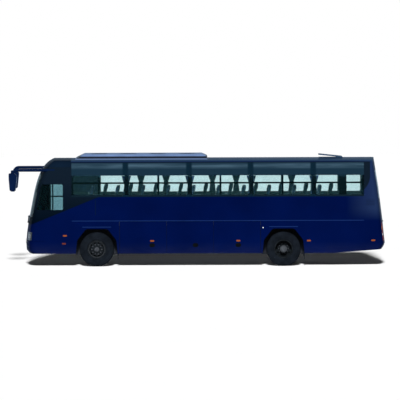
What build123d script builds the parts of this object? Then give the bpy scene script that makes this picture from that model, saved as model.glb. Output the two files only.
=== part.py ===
from build123d import *
import math
import os

# Coach bus, in mm. Front towards -X, left side towards -Y, up +Z, ground at Z = 0.
# Distances named s run rearwards from the nose.

# Whole vehicle
BODY_LENGTH = 11000
BODY_WIDTH = 2500
FRONT_OVERHANG = 2180
REAR_OVERHANG = 3120
MIRROR_REACH = 500
SILL_Z = 395
SEAM_Z = 1380
WALL = 55
GLASS = 10
DOOR_THICK = 45
DOOR_GAP = 8
HINGE_R = 5
HINGE_SEAT = 0.5

NOSE_X = -(BODY_LENGTH - MIRROR_REACH) / 2
TAIL_X = NOSE_X + BODY_LENGTH
HALF = BODY_WIDTH / 2
INNER_HALF = HALF - WALL

# Roof section: a shoulder arc, a tighter eaves arc and a flat crown, all tangent
SHOULDER_Z = 2700
SHOULDER_R = 1068
SHOULDER_TURN = 22
EAVES_R = 220
EAVES_END = 86

# Nose and tail in plan
NOSE_BOW_R = 5000
NOSE_CORNER_R = 210
TAIL_BOW_R = 9000
TAIL_CORNER_R = 160

# Nose and tail from the side: height, setback behind the foremost or rearmost point
NOSE_LOW = [(SILL_Z, 90), (480, 15), (671, 0), (993, 25), (SEAM_Z, 78)]
NOSE_HIGH = [(SEAM_Z, 78), (2133, 230), (2640, 360), (2960, 505), (3130, 640), (3300, 1000)]
TAIL_LOW = [(SILL_Z, 120), (480, 95), (671, 0), (993, 36), (SEAM_Z, 75)]
TAIL_HIGH = [(SEAM_Z, 75), (2400, 200), (3300, 346)]
TAIL_RISE_LENGTH = 1600
TAIL_RISE = 120
BUMPER_Z = 770
GROOVE = 10

# Wheels and axles
TYRE_R = 522
TYRE_W = 290
BEAD_W = 210
RIM_R = 286
RIM_FLANGE = 118
WHEEL_Y = 1075
TWIN_SPACING = 330
HUB_R = 90
REAR_HUB_R = 110
HAND_HOLES = 10
HAND_HOLE_R = 27
KINGPIN_Y = 955
KINGPIN_R = 25
SPINDLE_R = 45
RUNNING_FIT = 0.08
STEER_ARM = 170
TIE_ROD_Z = 385
TIE_ROD_R = 18
TIE_PIN_R = 12

FRONT_AXLE_S = FRONT_OVERHANG
REAR_AXLE_S = BODY_LENGTH - REAR_OVERHANG
FRONT_X = NOSE_X + FRONT_AXLE_S
REAR_X = NOSE_X + REAR_AXLE_S

# Wheel arches: half width at the sill, half width of the flat top, heights
ARCH_HALF = 640
ARCH_LEAN = 40
ARCH_TOP_HALF = 330
ARCH_TOP_Z = 1150
ARCH_SHOULDER_Z = 800
ARCH_FILLET = 130
HOOD = 12
HOOD_INNER_Y = 520
HOOD_OPEN_Z = 620
FLAP_LOW_Z = 217

# Panel splits along the body, as s
MASK_END = 620
DOOR_POST = 140
TAIL_LENGTH = 650
QUARTER_END = FRONT_AXLE_S - ARCH_HALF - DOOR_POST
TAIL_START = BODY_LENGTH - TAIL_LENGTH
SCREEN_TOP_Z = 3036
SCREEN_HALF = 1100

# Luggage hold and doors
HOLD_CLEAR = 60
HOLD_WALL = 40
HOLD_FLOOR = 45
DOORS_A_SIDE = 3
DOOR_BORDER = 70
DOOR_PRESS = 20
HOLD_START = FRONT_AXLE_S + ARCH_HALF + HOLD_CLEAR
HOLD_END = REAR_AXLE_S - ARCH_HALF - HOLD_CLEAR
DOOR_PITCH = (HOLD_END - HOLD_START) / DOORS_A_SIDE

# Entry door on the right side, hung on a swinging arm
DOORWAY_TOP_Z = 2510
DOORWAY_START = MASK_END
DOORWAY_END = QUARTER_END
DOOR_STILE = 90
DOOR_RAIL = 150
ARM_POST_IN = 95
ARM_PIN_IN = 165
ARM_POST_Y = 1110
ARM_R = 20
ARM_PIN_R = 10
ARM_HEIGHTS = [700, 2050]
ARM_LOW_Z = 460.5
ARM_TOP_Z = 2700

# Side windows: the panes' shares of the glazed wall, from the front, and the bars in each
PANE_SHARES = [0.188, 0.217, 0.210, 0.214, 0.171]
PANE_GAP = 8
PANE_END = 10
POST_HALF = 62
GLASS_LOW_Z = 2126
GLASS_TOP_Z = 3160
WINDOW_LOW_Z = 2188
WINDOW_TOP_Z = 2960
WINDOW_R = 50
SLIDER_Z = 2548
SLIDER_W = 50
SLIDER_DEPTH = 30
LAST_POST_W = 227
DRIVER_BAR_W = 40

# Driver's window: distance behind the nose at the bottom and top of its front edge, and its rear edge
DRIVER_FRONT_LOW = 337
DRIVER_FRONT_TOP = 490
DRIVER_REAR = 1149
DRIVER_LOW_Z = 1734
DRIVER_TOP_Z = 2516
DRIVER_BAR_S = 843

# Lamps, as half widths and heights
HEADLAMP_Y = (700, 1190)
HEADLAMP_Z = (800, 1050)
TAIL_LAMP_Y = (860, 1110)
TAIL_LAMP_Z = (760, 1300)
LAMP_DEPTH = 30
GRILLE_HALF = 560
GRILLE_SLOT = 26
GRILLE_HEIGHTS = [520, 580, 640, 700]
FOG_LAMP_Y = 880
FOG_LAMP_Z = 620
FOG_LAMP_R = 60

# Tail: rear window, engine lid and louvres
REAR_GLASS_HALF = 900
REAR_GLASS_LOW_Z = 2050
REAR_GLASS_TOP_Z = 2900
LID_HALF = 820
LID_LOW_Z = 640
LID_TOP_Z = 1340
LID_HINGE_IN = 70
LOUVRE = 18
LOUVRE_DEPTH = 15
LOUVRE_PITCH = 50
LID_SLOTS = 8
CORNER_SLOTS = 4
CORNER_SLOT_Z = 1850

# Roof hatch and cooling pod
HATCH_LENGTH = 700
HATCH_TO_TAIL = 670
HATCH_HALF = 330
CURB = 40
CURB_TOP_Z = 3278
LID_LIFT = 6
LID_THICK = 24
LID_OVER = 20
LID_OPEN = 6
POD_TO_QUARTER = 117
POD_LENGTH = 4044
POD_HALF = 850
POD_TOP_HALF = 700
POD_TOP_Z = 3404
POD_RAMP = 275
POD_ROUND = 170
POD_FANS = 4
POD_FAN_R = 270
POD_FAN_HUB_R = 80
POD_FAN_DEPTH = 55

# Floors and frames
FLOOR_Z = 1290
FLOOR_THICK = 50
CAB_FLOOR_Z = 950
STEP_Y = 510
STEPS = [(0, 430), (280, 690)]
FRAME_Y = 420
FRAME_W = 80
FRAME_WEB = 14
FRAME_LOW_Z = 740
FRAME_TOP_Z = 910
CROSS_R = 45
TOW_BORE_R = 25
TOW_PLATE = 40
FRONT_TOW_S = 225
FRONT_TOW_Z = 430
REAR_TOW_IN = 185
REAR_TOW_Z = 540

# Engine and gearbox behind the rear axle
ENGINE_BEHIND = 1020
GEARBOX_BEHIND = 520
SHAFT_Z = 690

# Seats
SEAT_PITCH = 770
SEAT_FIRST = 80
BENCH_IN = 400
AISLE_HALF = 290
SEAT_FIRST_S = QUARTER_END + SEAT_FIRST
BENCH_S = TAIL_START - BENCH_IN
SEAT_ROWS = int((BENCH_S - SEAT_FIRST_S) // SEAT_PITCH)


def at(s):
    """X of a point s behind the nose."""
    return NOSE_X + s


def block(s0, s1, y0, y1, z0, z1):
    """A box from its limits, with s along the body."""
    centre = Pos((at(s0) + at(s1)) / 2, (y0 + y1) / 2, (z0 + z1) / 2)
    return centre * Box(s1 - s0, y1 - y0, z1 - z0)


def side_prism(points, y0, y1, radius=0, rounded=None):
    """A side-view outline of (s, z) points run across from y0 to y1, its corners rounded."""
    plane = Plane.XZ.offset(-y1)
    outline = make_face(Polyline(*[(at(s), z) for s, z in points], close=True))
    if radius:
        corners = [v for v in outline.vertices()]
        if rounded is not None:
            wanted = [points[i] for i in rounded]
            corners = [v for v in corners if any(math.hypot(v.X - at(s), v.Y - z) < 0.1 for s, z in wanted)]
        outline = fillet(corners, radius)
    return extrude(plane * outline, amount=y1 - y0)


def cross_prism(points, s0, s1):
    """A cross-section of (y, z) points run along the body from s0 to s1."""
    outline = make_face(Polyline(*points, close=True))
    return Pos(at(s0), 0, 0) * extrude(Plane.YZ * outline, amount=s1 - s0)


def rod(start, end, radius):
    """A round bar between two points."""
    a, b = Vector(*start), Vector(*end)
    plane = Plane(origin=a, z_dir=b - a)
    return extrude(plane * Circle(radius), amount=(b - a).length)


def flip(shape):
    """The same shape on the other side of the vehicle."""
    return mirror(shape, about=Plane.XZ)


def group(shapes):
    """Several separate solids as one node."""
    solids = []
    for shape in shapes:
        solids += list(shape.solids())
    return Compound(children=solids)


def polar(centre, radius, degrees):
    angle = math.radians(degrees)
    return (centre[0] + radius * math.cos(angle), centre[1] + radius * math.sin(angle))


def section(inset):
    """Cross-section of the body, everything inset by the same amount."""
    shoulder = (HALF - SHOULDER_R, SHOULDER_Z)
    eaves = polar(shoulder, SHOULDER_R - EAVES_R, SHOULDER_TURN)
    crown_r = polar(eaves, EAVES_R, EAVES_END)[0] / math.cos(math.radians(EAVES_END))
    crown = (0, polar(eaves, EAVES_R, EAVES_END)[1] - crown_r * math.sin(math.radians(EAVES_END)))
    low = (HALF - inset, 200)
    p0 = (HALF - inset, SHOULDER_Z)
    p1 = polar(shoulder, SHOULDER_R - inset, SHOULDER_TURN)
    m1 = polar(shoulder, SHOULDER_R - inset, SHOULDER_TURN / 2)
    p2 = polar(eaves, EAVES_R - inset, EAVES_END)
    m2 = polar(eaves, EAVES_R - inset, (SHOULDER_TURN + EAVES_END) / 2)
    top = (0, crown[1] + crown_r - inset)

    def other(p):
        return (-p[0], p[1])

    edges = [
        Line(low, p0), ThreePointArc(p0, m1, p1), ThreePointArc(p1, m2, p2), ThreePointArc(p2, top, other(p2)),
        ThreePointArc(other(p2), other(m2), other(p1)), ThreePointArc(other(p1), other(m1), other(p0)),
        Line(other(p0), other(low)), Line(other(low), low),
    ]
    return make_face(edges)


def tube(inset, s0, s1):
    """The body section run along the body."""
    return Pos(at(s0), 0, 0) * extrude(Plane.YZ * section(inset), amount=s1 - s0)


def end_outline(z, tip, facing, bow_r, corner_r, back, inset):
    """Plan outline of one end of the body at one height: straight sides, round corners, a bowed end."""
    half = HALF + 1 - inset
    bow_x = tip - facing * bow_r
    corner_y = half - corner_r
    corner_x = bow_x + facing * math.sqrt((bow_r - corner_r) ** 2 - corner_y**2)
    angle = math.atan2(corner_y, facing * (corner_x - bow_x))
    touch = (bow_x + facing * bow_r * math.cos(angle), bow_r * math.sin(angle))
    middle = (angle + math.pi / 2) / 2
    mid = (corner_x + facing * corner_r * math.cos(middle), corner_y + corner_r * math.sin(middle))
    side = (corner_x, half)

    def left(p):
        return (p[0], -p[1])

    edges = [
        Line((back, half), side), ThreePointArc(side, mid, touch), ThreePointArc(touch, (tip, 0), left(touch)),
        ThreePointArc(left(touch), left(mid), left(side)), Line(left(side), (back, -half)),
        Line((back, -half), (back, half)),
    ]
    return Plane.XY.offset(z) * make_face(edges)


def nose(levels, inset, ruled):
    """The front end of the body inside its skin, between the first and last level."""
    bow, corner, back = NOSE_BOW_R - inset, NOSE_CORNER_R - inset, at(QUARTER_END + 200)
    outlines = [end_outline(z, at(setback) + inset, -1, bow, corner, back, inset) for z, setback in levels]
    return loft(outlines, ruled=ruled) & tube(inset, -300, QUARTER_END + 100)


def tail(levels, inset):
    """The rear end of the body inside its skin, between the first and last level."""
    bow, corner, back = TAIL_BOW_R - inset, TAIL_CORNER_R - inset, at(TAIL_START - 200)
    outlines = [end_outline(z, TAIL_X - setback - inset, 1, bow, corner, back, inset) for z, setback in levels]
    return loft(outlines, ruled=True) & tube(inset, TAIL_START - 100, BODY_LENGTH + 300)


BIG = 2000
NOSE_LOW_OUT = nose(NOSE_LOW, 0, True)
NOSE_HIGH_OUT = nose(NOSE_HIGH, 0, False)
TAIL_LOW_OUT = tail(TAIL_LOW, 0)
TAIL_HIGH_OUT = tail(TAIL_HIGH, 0)
TUBE_OUT = tube(0, QUARTER_END, TAIL_START)
TUBE_RING = TUBE_OUT - tube(WALL, QUARTER_END - 1, TAIL_START + 1)
TUBE_SKIN = TUBE_OUT - tube(GLASS, QUARTER_END - 1, TAIL_START + 1)
PARTS = {}

# Underside rises towards the tail
rise_start = BODY_LENGTH - TAIL_RISE_LENGTH
UNDER_TAIL = side_prism(
    [(rise_start, SILL_Z), (BODY_LENGTH, SILL_Z + TAIL_RISE), (BODY_LENGTH, 100), (rise_start, 100)], -BIG, BIG
)


def arch(axle_s, y0, y1, grow=0):
    """Wheel arch outline, grown by the hood's thickness where asked: leaning sides, flat top, round corners."""
    half, shoulder = ARCH_HALF + grow, ARCH_HALF - ARCH_LEAN + grow
    top_half, top = ARCH_TOP_HALF + grow / 2, ARCH_TOP_Z + grow
    front = [(-half, 200), (-half, SILL_Z), (-shoulder, ARCH_SHOULDER_Z), (-top_half, top)]
    rear = [(-s, z) for s, z in reversed(front)]
    points = [(axle_s + s, z) for s, z in front + rear]
    return side_prism(points, y0, y1, ARCH_FILLET, [2, 3, 4, 5])


# Front end panels
NOSE_LOW_SHELL = NOSE_LOW_OUT - nose(NOSE_LOW, WALL, True)
NOSE_HIGH_SHELL = NOSE_HIGH_OUT - nose(NOSE_HIGH, WALL, False)
NOSE_HIGH_SKIN = NOSE_HIGH_OUT - nose(NOSE_HIGH, GLASS, False)


def bow_sag(y):
    """How far the nose has fallen back at a distance y from the middle."""
    return NOSE_BOW_R - math.sqrt(NOSE_BOW_R**2 - y**2)


headlamp_zone = block(-50, MASK_END - WALL, *HEADLAMP_Y, *HEADLAMP_Z)
headlamp = (NOSE_LOW_OUT - nose(NOSE_LOW, LAMP_DEPTH, True)) & headlamp_zone
PARTS["headlamps"] = group([flip(headlamp), headlamp])
front_mask = NOSE_LOW_SHELL & block(-50, MASK_END, -BIG, BIG, SILL_Z, SEAM_Z)
bumper_zone = block(-50, MASK_END, -BIG, BIG, BUMPER_Z, BUMPER_Z + GROOVE)
front_mask = front_mask - ((NOSE_LOW_OUT - nose(NOSE_LOW, GROOVE, True)) & bumper_zone)
for side in (-1, 1):
    y0, y1 = sorted((side * WALL / 2, side * GRILLE_HALF))
    for z in GRILLE_HEIGHTS:
        front_mask = front_mask - block(-50, MASK_END / 2, y0, y1, z, z + GRILLE_SLOT)
    fog_x = at(bow_sag(FOG_LAMP_Y) + LAMP_DEPTH)
    fog_y = side * FOG_LAMP_Y
    front_mask = front_mask - rod((at(-50), fog_y, FOG_LAMP_Z), (fog_x, fog_y, FOG_LAMP_Z), FOG_LAMP_R)
PARTS["front_mask"] = front_mask - headlamp - flip(headlamp)

screen_zone = block(-50, QUARTER_END, -SCREEN_HALF, SCREEN_HALF, SEAM_Z, SCREEN_TOP_Z)
PARTS["windscreen"] = NOSE_HIGH_SKIN & screen_zone
PARTS["front_cap"] = NOSE_HIGH_SHELL & block(-50, QUARTER_END, -BIG, BIG, SCREEN_TOP_Z, BIG + SCREEN_TOP_Z)
driver_outline = [
    (DRIVER_FRONT_LOW, DRIVER_LOW_Z), (DRIVER_REAR, DRIVER_LOW_Z), (DRIVER_REAR, DRIVER_TOP_Z),
    (DRIVER_FRONT_TOP, DRIVER_TOP_Z),
]
driver_opening = side_prism(driver_outline, -BIG, -HALF / 2, DRIVER_BAR_W)
driver_bar = block(
    DRIVER_BAR_S - DRIVER_BAR_W / 2, DRIVER_BAR_S + DRIVER_BAR_W / 2, -BIG, 0, DRIVER_LOW_Z, DRIVER_TOP_Z
)
driver_window = NOSE_HIGH_SKIN & driver_opening
quarter_zone = block(-50, QUARTER_END, -BIG, -SCREEN_HALF, SEAM_Z, SCREEN_TOP_Z)
PARTS["driver_window"] = driver_window
PARTS["front_quarter_left"] = (NOSE_HIGH_SHELL & quarter_zone) - driver_window - (driver_opening - driver_bar)
doorway = block(DOORWAY_START, DOORWAY_END, HALF / 2, BIG, 0, DOORWAY_TOP_Z)
PARTS["front_quarter_right"] = (NOSE_HIGH_SHELL & flip(quarter_zone)) - doorway

# Side walls with their windows and slider bars, and the glass laid over them
pane_edges = [QUARTER_END + PANE_END]
glazed = TAIL_START - QUARTER_END - 2 * PANE_END
for share in PANE_SHARES:
    pane_edges.append(pane_edges[-1] + share * glazed)
side_wall = TUBE_RING & block(QUARTER_END, TAIL_START, -BIG, 0, SEAM_Z, GLASS_TOP_Z)
side_wall = side_wall - (TUBE_SKIN & block(pane_edges[0], pane_edges[-1], -BIG, 0, GLASS_LOW_Z, GLASS_TOP_Z))
level_bar = block(pane_edges[0], pane_edges[-1], -BIG, 0, SLIDER_Z - SLIDER_W / 2, SLIDER_Z + SLIDER_W / 2)
upright_bars = []
panes = []
for start, end in zip(pane_edges, pane_edges[1:]):
    outline = [
        (start + POST_HALF, WINDOW_LOW_Z), (end - POST_HALF, WINDOW_LOW_Z),
        (end - POST_HALF, WINDOW_TOP_Z), (start + POST_HALF, WINDOW_TOP_Z),
    ]
    side_wall = side_wall - side_prism(outline, -BIG, -HALF / 2, WINDOW_R)
    panes.append(TUBE_SKIN & block(start + PANE_GAP / 2, end - PANE_GAP / 2, -BIG, 0, GLASS_LOW_Z, GLASS_TOP_Z))
    last = end == pane_edges[-1]
    width = LAST_POST_W if last else SLIDER_W
    middle = (start + end + (width if last else 0)) / 2
    upright_bars.append(block(middle - width / 2, middle + width / 2, -BIG, 0, WINDOW_LOW_Z, WINDOW_TOP_Z))
bar_ring = tube(GLASS, QUARTER_END, TAIL_START) - tube(GLASS + SLIDER_DEPTH, QUARTER_END - 1, TAIL_START + 1)
for bar in upright_bars:
    side_wall = side_wall + (bar_ring & bar)
hinge_top = SEAM_Z - DOOR_GAP
KNUCKLE_HALF = 40
for index in range(DOORS_A_SIDE):
    for share in (0.2, 0.8):
        s = HOLD_START + (index + share) * DOOR_PITCH
        s0, s1 = s - KNUCKLE_HALF, s + KNUCKLE_HALF
        low, high = hinge_top + HINGE_SEAT, SEAM_Z + HINGE_R
        side_wall = side_wall + block(s0, s1, -HALF, -HALF + 2 * HINGE_R, low, high)
PARTS["side_wall_left"] = side_wall + (bar_ring & level_bar)
PARTS["side_wall_right"] = flip(side_wall)
PARTS["side_glass"] = group(panes + [flip(p) for p in panes])

# Fixed skirts below the seam, with the wheel arches
front_skirt = block(MASK_END, HOLD_START - DOOR_GAP, -HALF, -INNER_HALF, SILL_Z, SEAM_Z)
front_skirt = front_skirt - arch(FRONT_AXLE_S, -BIG, 0)
front_skirt_right = flip(front_skirt) & block(DOORWAY_END, BODY_LENGTH, 0, BIG, 0, BIG)
rear_skirt = block(HOLD_END + DOOR_GAP, TAIL_START, -HALF, -INNER_HALF, SILL_Z, SEAM_Z)
rear_skirt = rear_skirt - arch(REAR_AXLE_S, -BIG, 0) - UNDER_TAIL
PARTS["skirt_panels"] = group([front_skirt, front_skirt_right, rear_skirt, flip(rear_skirt)])

# Roof with the hatch curb, and the hatch lid standing a little open
hatch_end = TAIL_START - HATCH_TO_TAIL
hatch_start = hatch_end - HATCH_LENGTH
lid_z = CURB_TOP_Z + LID_LIFT
hinge_s = hatch_end + LID_OVER
curb = block(hatch_start, hatch_end, -HATCH_HALF, HATCH_HALF, GLASS_TOP_Z, CURB_TOP_Z)
hole_half = HATCH_HALF - CURB
curb_hole = block(
    hatch_start + CURB, hatch_end - CURB, -hole_half, hole_half, GLASS_TOP_Z - CURB, BIG + CURB_TOP_Z
)
rail_half = HATCH_HALF - 3 * CURB
rail_top = lid_z - HINGE_R - HINGE_SEAT
hinge_rail = block(hatch_end, hatch_end + CURB, -rail_half, rail_half, GLASS_TOP_Z, rail_top)
roof = TUBE_RING & block(QUARTER_END, TAIL_START, -BIG, BIG, GLASS_TOP_Z, BIG + GLASS_TOP_Z)
roof = roof + (curb + hinge_rail - tube(WALL / 2, QUARTER_END, TAIL_START))
PARTS["roof_panel"] = roof - curb_hole

lid_plan = Rectangle(HATCH_LENGTH + 2 * LID_OVER, 2 * (HATCH_HALF + LID_OVER))
lid_seat = Plane.XY.offset(lid_z)
lid_middle = Pos(at((hatch_start + hatch_end) / 2), 0, 0)
lid = lid_middle * extrude(lid_seat * fillet(lid_plan.vertices(), CURB), amount=LID_THICK, taper=30)
lid = lid + rod((at(hinge_s), -HATCH_HALF, lid_z), (at(hinge_s), HATCH_HALF, lid_z), HINGE_R)
PARTS["roof_hatch"] = lid.rotate(Axis((at(hinge_s), 0, lid_z), (0, 1, 0)), LID_OPEN)

# Tail panels with the louvred corners
TAIL_HIGH_SHELL = TAIL_HIGH_OUT - tail(TAIL_HIGH, WALL)
rear_zone = block(
    TAIL_START + TAIL_LENGTH / 3, BODY_LENGTH,
    -REAR_GLASS_HALF, REAR_GLASS_HALF, REAR_GLASS_LOW_Z, REAR_GLASS_TOP_Z,
)
PARTS["rear_window"] = (TAIL_HIGH_OUT - tail(TAIL_HIGH, GLASS)) & rear_zone
rear_upper = TAIL_HIGH_SHELL & block(TAIL_START, BODY_LENGTH, -BIG, BIG, SEAM_Z, BIG + SEAM_Z)
louvre_zones = []
for index in range(CORNER_SLOTS):
    z = CORNER_SLOT_Z + index * LOUVRE_PITCH
    louvre_zones.append(block(TAIL_START + WALL, BODY_LENGTH - TAIL_LENGTH / 2, -BIG, BIG, z, z + LOUVRE))
louvre_skin = TAIL_HIGH_OUT - tail(TAIL_HIGH, LOUVRE_DEPTH)
for zone in louvre_zones:
    rear_upper = rear_upper - (louvre_skin & zone)
PARTS["rear_upper_panel"] = rear_upper - rear_zone

tail_depth = (BODY_LENGTH - TAIL_LENGTH / 2, BODY_LENGTH)
tail_lamp = (TAIL_LOW_OUT - tail(TAIL_LOW, LAMP_DEPTH)) & block(*tail_depth, *TAIL_LAMP_Y, *TAIL_LAMP_Z)
TAIL_LOW_SHELL = TAIL_LOW_OUT - tail(TAIL_LOW, WALL)
rear_lower = TAIL_LOW_SHELL & block(TAIL_START, BODY_LENGTH, -BIG, BIG, SILL_Z, SEAM_Z)
lid_opening = block(*tail_depth, -LID_HALF, LID_HALF, LID_LOW_Z, LID_TOP_Z)
rear_lower = rear_lower - UNDER_TAIL - lid_opening - tail_lamp - flip(tail_lamp)
lid_hinge_s = BODY_LENGTH - LID_HINGE_IN
lid_hinge_z = LID_TOP_Z - DOOR_GAP - HINGE_R
for y in (-LID_HALF * 0.6, LID_HALF * 0.6):
    rear_lower = rear_lower + block(
        lid_hinge_s - 6 * HINGE_R, lid_hinge_s + HINGE_R, y - KNUCKLE_HALF, y + KNUCKLE_HALF,
        lid_hinge_z + HINGE_R + HINGE_SEAT, LID_TOP_Z + 4 * HINGE_R,
    )
PARTS["rear_lower_panel"] = rear_lower
PARTS["tail_lamps"] = group([flip(tail_lamp), tail_lamp])

# Engine lid with two columns of louvre slots
engine_lid = TAIL_LOW_SHELL & block(
    *tail_depth, -LID_HALF + DOOR_GAP, LID_HALF - DOOR_GAP, LID_LOW_Z + DOOR_GAP, LID_TOP_Z - DOOR_GAP
)
for index in range(LID_SLOTS):
    z = LID_LOW_Z + 2 * LOUVRE_PITCH + index * LOUVRE_PITCH
    slot = block(*tail_depth, WALL, LID_HALF - 2 * LOUVRE_PITCH, z, z + LOUVRE)
    engine_lid = engine_lid - slot - flip(slot)
lid_bar_end = LID_HALF - LOUVRE_PITCH
PARTS["engine_lid"] = engine_lid + rod(
    (at(lid_hinge_s), -lid_bar_end, lid_hinge_z), (at(lid_hinge_s), lid_bar_end, lid_hinge_z), HINGE_R
)

# Luggage doors, pressed in on the inside, hung from a hinge along the top outer edge
for index in range(DOORS_A_SIDE):
    s0 = HOLD_START + index * DOOR_PITCH + DOOR_GAP / 2
    s1 = s0 + DOOR_PITCH - DOOR_GAP
    hinge_y, hinge_z = -HALF + HINGE_R, hinge_top - HINGE_R
    door = block(s0, s1, -HALF, -HALF + DOOR_THICK, SILL_Z, hinge_z)
    door = door + rod((at(s0), hinge_y, hinge_z), (at(s1), hinge_y, hinge_z), HINGE_R)
    middle = (s0 + s1) / 2
    low, high = SILL_Z + DOOR_BORDER, hinge_z - DOOR_BORDER
    press_y = -HALF + DOOR_THICK - DOOR_PRESS
    for p0, p1 in ((s0 + DOOR_BORDER, middle - DOOR_BORDER / 2), (middle + DOOR_BORDER / 2, s1 - DOOR_BORDER)):
        door = door - side_prism([(p0, low), (p1, low), (p1, high), (p0, high)], press_y, 0, DOOR_BORDER)
    PARTS[f"luggage_door_left_{index + 1}"] = door
    PARTS[f"luggage_door_right_{index + 1}"] = flip(door)

# Entry door: parallel swing on a post with two arms
post_s = DOORWAY_START + ARM_POST_IN
pin_s = DOORWAY_END - ARM_PIN_IN
door_inner_y = HALF - DOOR_THICK
door = block(
    DOORWAY_START + DOOR_GAP, DOORWAY_END - DOOR_GAP,
    door_inner_y, HALF, SILL_Z + DOOR_GAP, DOORWAY_TOP_Z - DOOR_GAP,
)
glass_s0, glass_s1 = DOORWAY_START + DOOR_GAP + DOOR_STILE, DOORWAY_END - DOOR_STILE
glass_z0, glass_z1 = SILL_Z + DOOR_RAIL, DOORWAY_TOP_Z - DOOR_STILE
door_window = [(glass_s0, glass_z0), (glass_s1, glass_z0), (glass_s1, glass_z1), (glass_s0, glass_z1)]
PARTS["entry_door_glass"] = side_prism(door_window, HALF - GLASS, HALF, WALL)
door = door - side_prism(door_window, 0, BIG, WALL)
arm = rod((at(post_s), ARM_POST_Y, ARM_LOW_Z), (at(post_s), ARM_POST_Y, ARM_TOP_Z), ARM_R)
LUG = 16
LUG_CLEAR = 6
for height in ARM_HEIGHTS:
    low, high = height - ARM_R, height + ARM_R
    lug_z = high + LUG_CLEAR
    lug = block(pin_s - 35, glass_s1 + 15, ARM_POST_Y - 35, door_inner_y, lug_z, lug_z + LUG)
    rail = block(glass_s1, DOORWAY_END - 25, door_inner_y - ARM_R, door_inner_y, height - 60, height + 120)
    pin = rod((at(pin_s), ARM_POST_Y, low - ARM_PIN_R), (at(pin_s), ARM_POST_Y, lug_z), ARM_PIN_R)
    door = door + lug + rail + pin
    bar = block(post_s, pin_s, ARM_POST_Y - 15, ARM_POST_Y + 15, low, high)
    boss = rod((at(pin_s), ARM_POST_Y, low), (at(pin_s), ARM_POST_Y, high), ARM_R + 2)
    bore_r = ARM_PIN_R + RUNNING_FIT
    bore = rod((at(pin_s), ARM_POST_Y, low - ARM_R), (at(pin_s), ARM_POST_Y, high + ARM_R), bore_r)
    arm = arm + bar + boss - bore
PARTS["entry_door"] = door
PARTS["entry_door_arm"] = arm

# Cabin floor with its side ledges, the lower cab floor and the entry steps
RISER = 40
LEDGE = 45
floor_low = FLOOR_Z - FLOOR_THICK
cab_low = CAB_FLOOR_Z - RISER
step_low = SILL_Z + HINGE_R
step_y = INNER_HALF - 15
floor = block(QUARTER_END, TAIL_START + 250, -INNER_HALF, INNER_HALF, floor_low, FLOOR_Z)
for side in (-1, 1):
    y0, y1 = sorted((side * INNER_HALF, side * (INNER_HALF - LEDGE)))
    floor = floor + block(QUARTER_END, TAIL_START, y0, y1, FLOOR_Z, SEAM_Z + LEDGE + 15)
floor = floor + block(QUARTER_END, QUARTER_END + RISER, -INNER_HALF, INNER_HALF, cab_low, FLOOR_Z)
floor = floor + block(360, QUARTER_END + RISER, -INNER_HALF, STEP_Y, cab_low, CAB_FLOOR_Z)
for depth, height in STEPS:
    floor = floor + block(MASK_END, QUARTER_END, STEP_Y, step_y - depth, height - 30, height + 30)
floor = floor + block(MASK_END, QUARTER_END + RISER, STEP_Y - RISER, STEP_Y, step_low, CAB_FLOOR_Z)
floor = floor + block(MASK_END, MASK_END + 16, STEP_Y - RISER, step_y, step_low, CAB_FLOOR_Z)
floor = floor + block(QUARTER_END, QUARTER_END + RISER, STEP_Y - RISER, step_y, step_low, CAB_FLOOR_Z)
PARTS["cabin_floor"] = floor


# Frames: channel rails joined by round cross-members
def frame(s0, s1, crosses):
    """Two channel rails, open towards the middle, with a round cross-member at each place."""
    outer, inner = FRAME_Y + FRAME_W / 2, FRAME_Y - FRAME_W / 2
    web = outer - FRAME_WEB
    low, high = FRAME_LOW_Z + FRAME_WEB, FRAME_TOP_Z - FRAME_WEB
    channel = [
        (-outer, FRAME_LOW_Z), (-inner, FRAME_LOW_Z), (-inner, low), (-web, low),
        (-web, high), (-inner, high), (-inner, FRAME_TOP_Z), (-outer, FRAME_TOP_Z),
    ]
    rail = cross_prism(channel, s0, s1)
    rails = rail + flip(rail)
    middle = (FRAME_LOW_Z + FRAME_TOP_Z) / 2
    for s in crosses:
        rails = rails + rod((at(s), -outer + 1, middle), (at(s), outer - 1, middle), CROSS_R)
    return rails


def tow_plate(s0, s1, hole_s, z, drop_s):
    """A flat plate with a pin hole, hung from the cross-member at drop_s."""
    half = 2 * CROSS_R
    plate = block(s0, s1, -half, half, z, z + TOW_PLATE)
    plate = plate + block(drop_s - TOW_PLATE, drop_s + TOW_PLATE, -half, half, z, FRAME_LOW_Z + CROSS_R)
    return plate - rod((at(hole_s), 0, z - TOW_PLATE), (at(hole_s), 0, z + 2 * TOW_PLATE), TOW_BORE_R)


front_cross = 320
front_end = HOLD_START - HOLD_WALL
front_frame = frame(250, front_end, [front_cross, QUARTER_END - 100, front_end - 130])
PARTS["front_frame"] = front_frame + tow_plate(
    FRONT_TOW_S - 65, front_cross + TOW_PLATE, FRONT_TOW_S, FRONT_TOW_Z, front_cross
)
rear_tow_s = BODY_LENGTH - REAR_TOW_IN
rear_cross = rear_tow_s - 75
post_cross = REAR_AXLE_S + 450
rear_frame = frame(HOLD_END + HOLD_WALL, rear_cross + 60, [HOLD_END + 205, post_cross, rear_cross])
rear_frame = rear_frame + tow_plate(rear_cross - TOW_PLATE, rear_tow_s + 45, rear_tow_s, REAR_TOW_Z, rear_cross)
for side in (-1, 1):
    y0, y1 = sorted((side * (FRAME_Y - FRAME_W / 2), side * (FRAME_Y + FRAME_W / 2)))
    s0, s1 = post_cross - FRAME_W / 2, post_cross + FRAME_W / 2
    rear_frame = rear_frame + block(s0, s1, y0, y1, FRAME_TOP_Z - FRAME_WEB, floor_low)
PARTS["rear_frame"] = rear_frame

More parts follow.
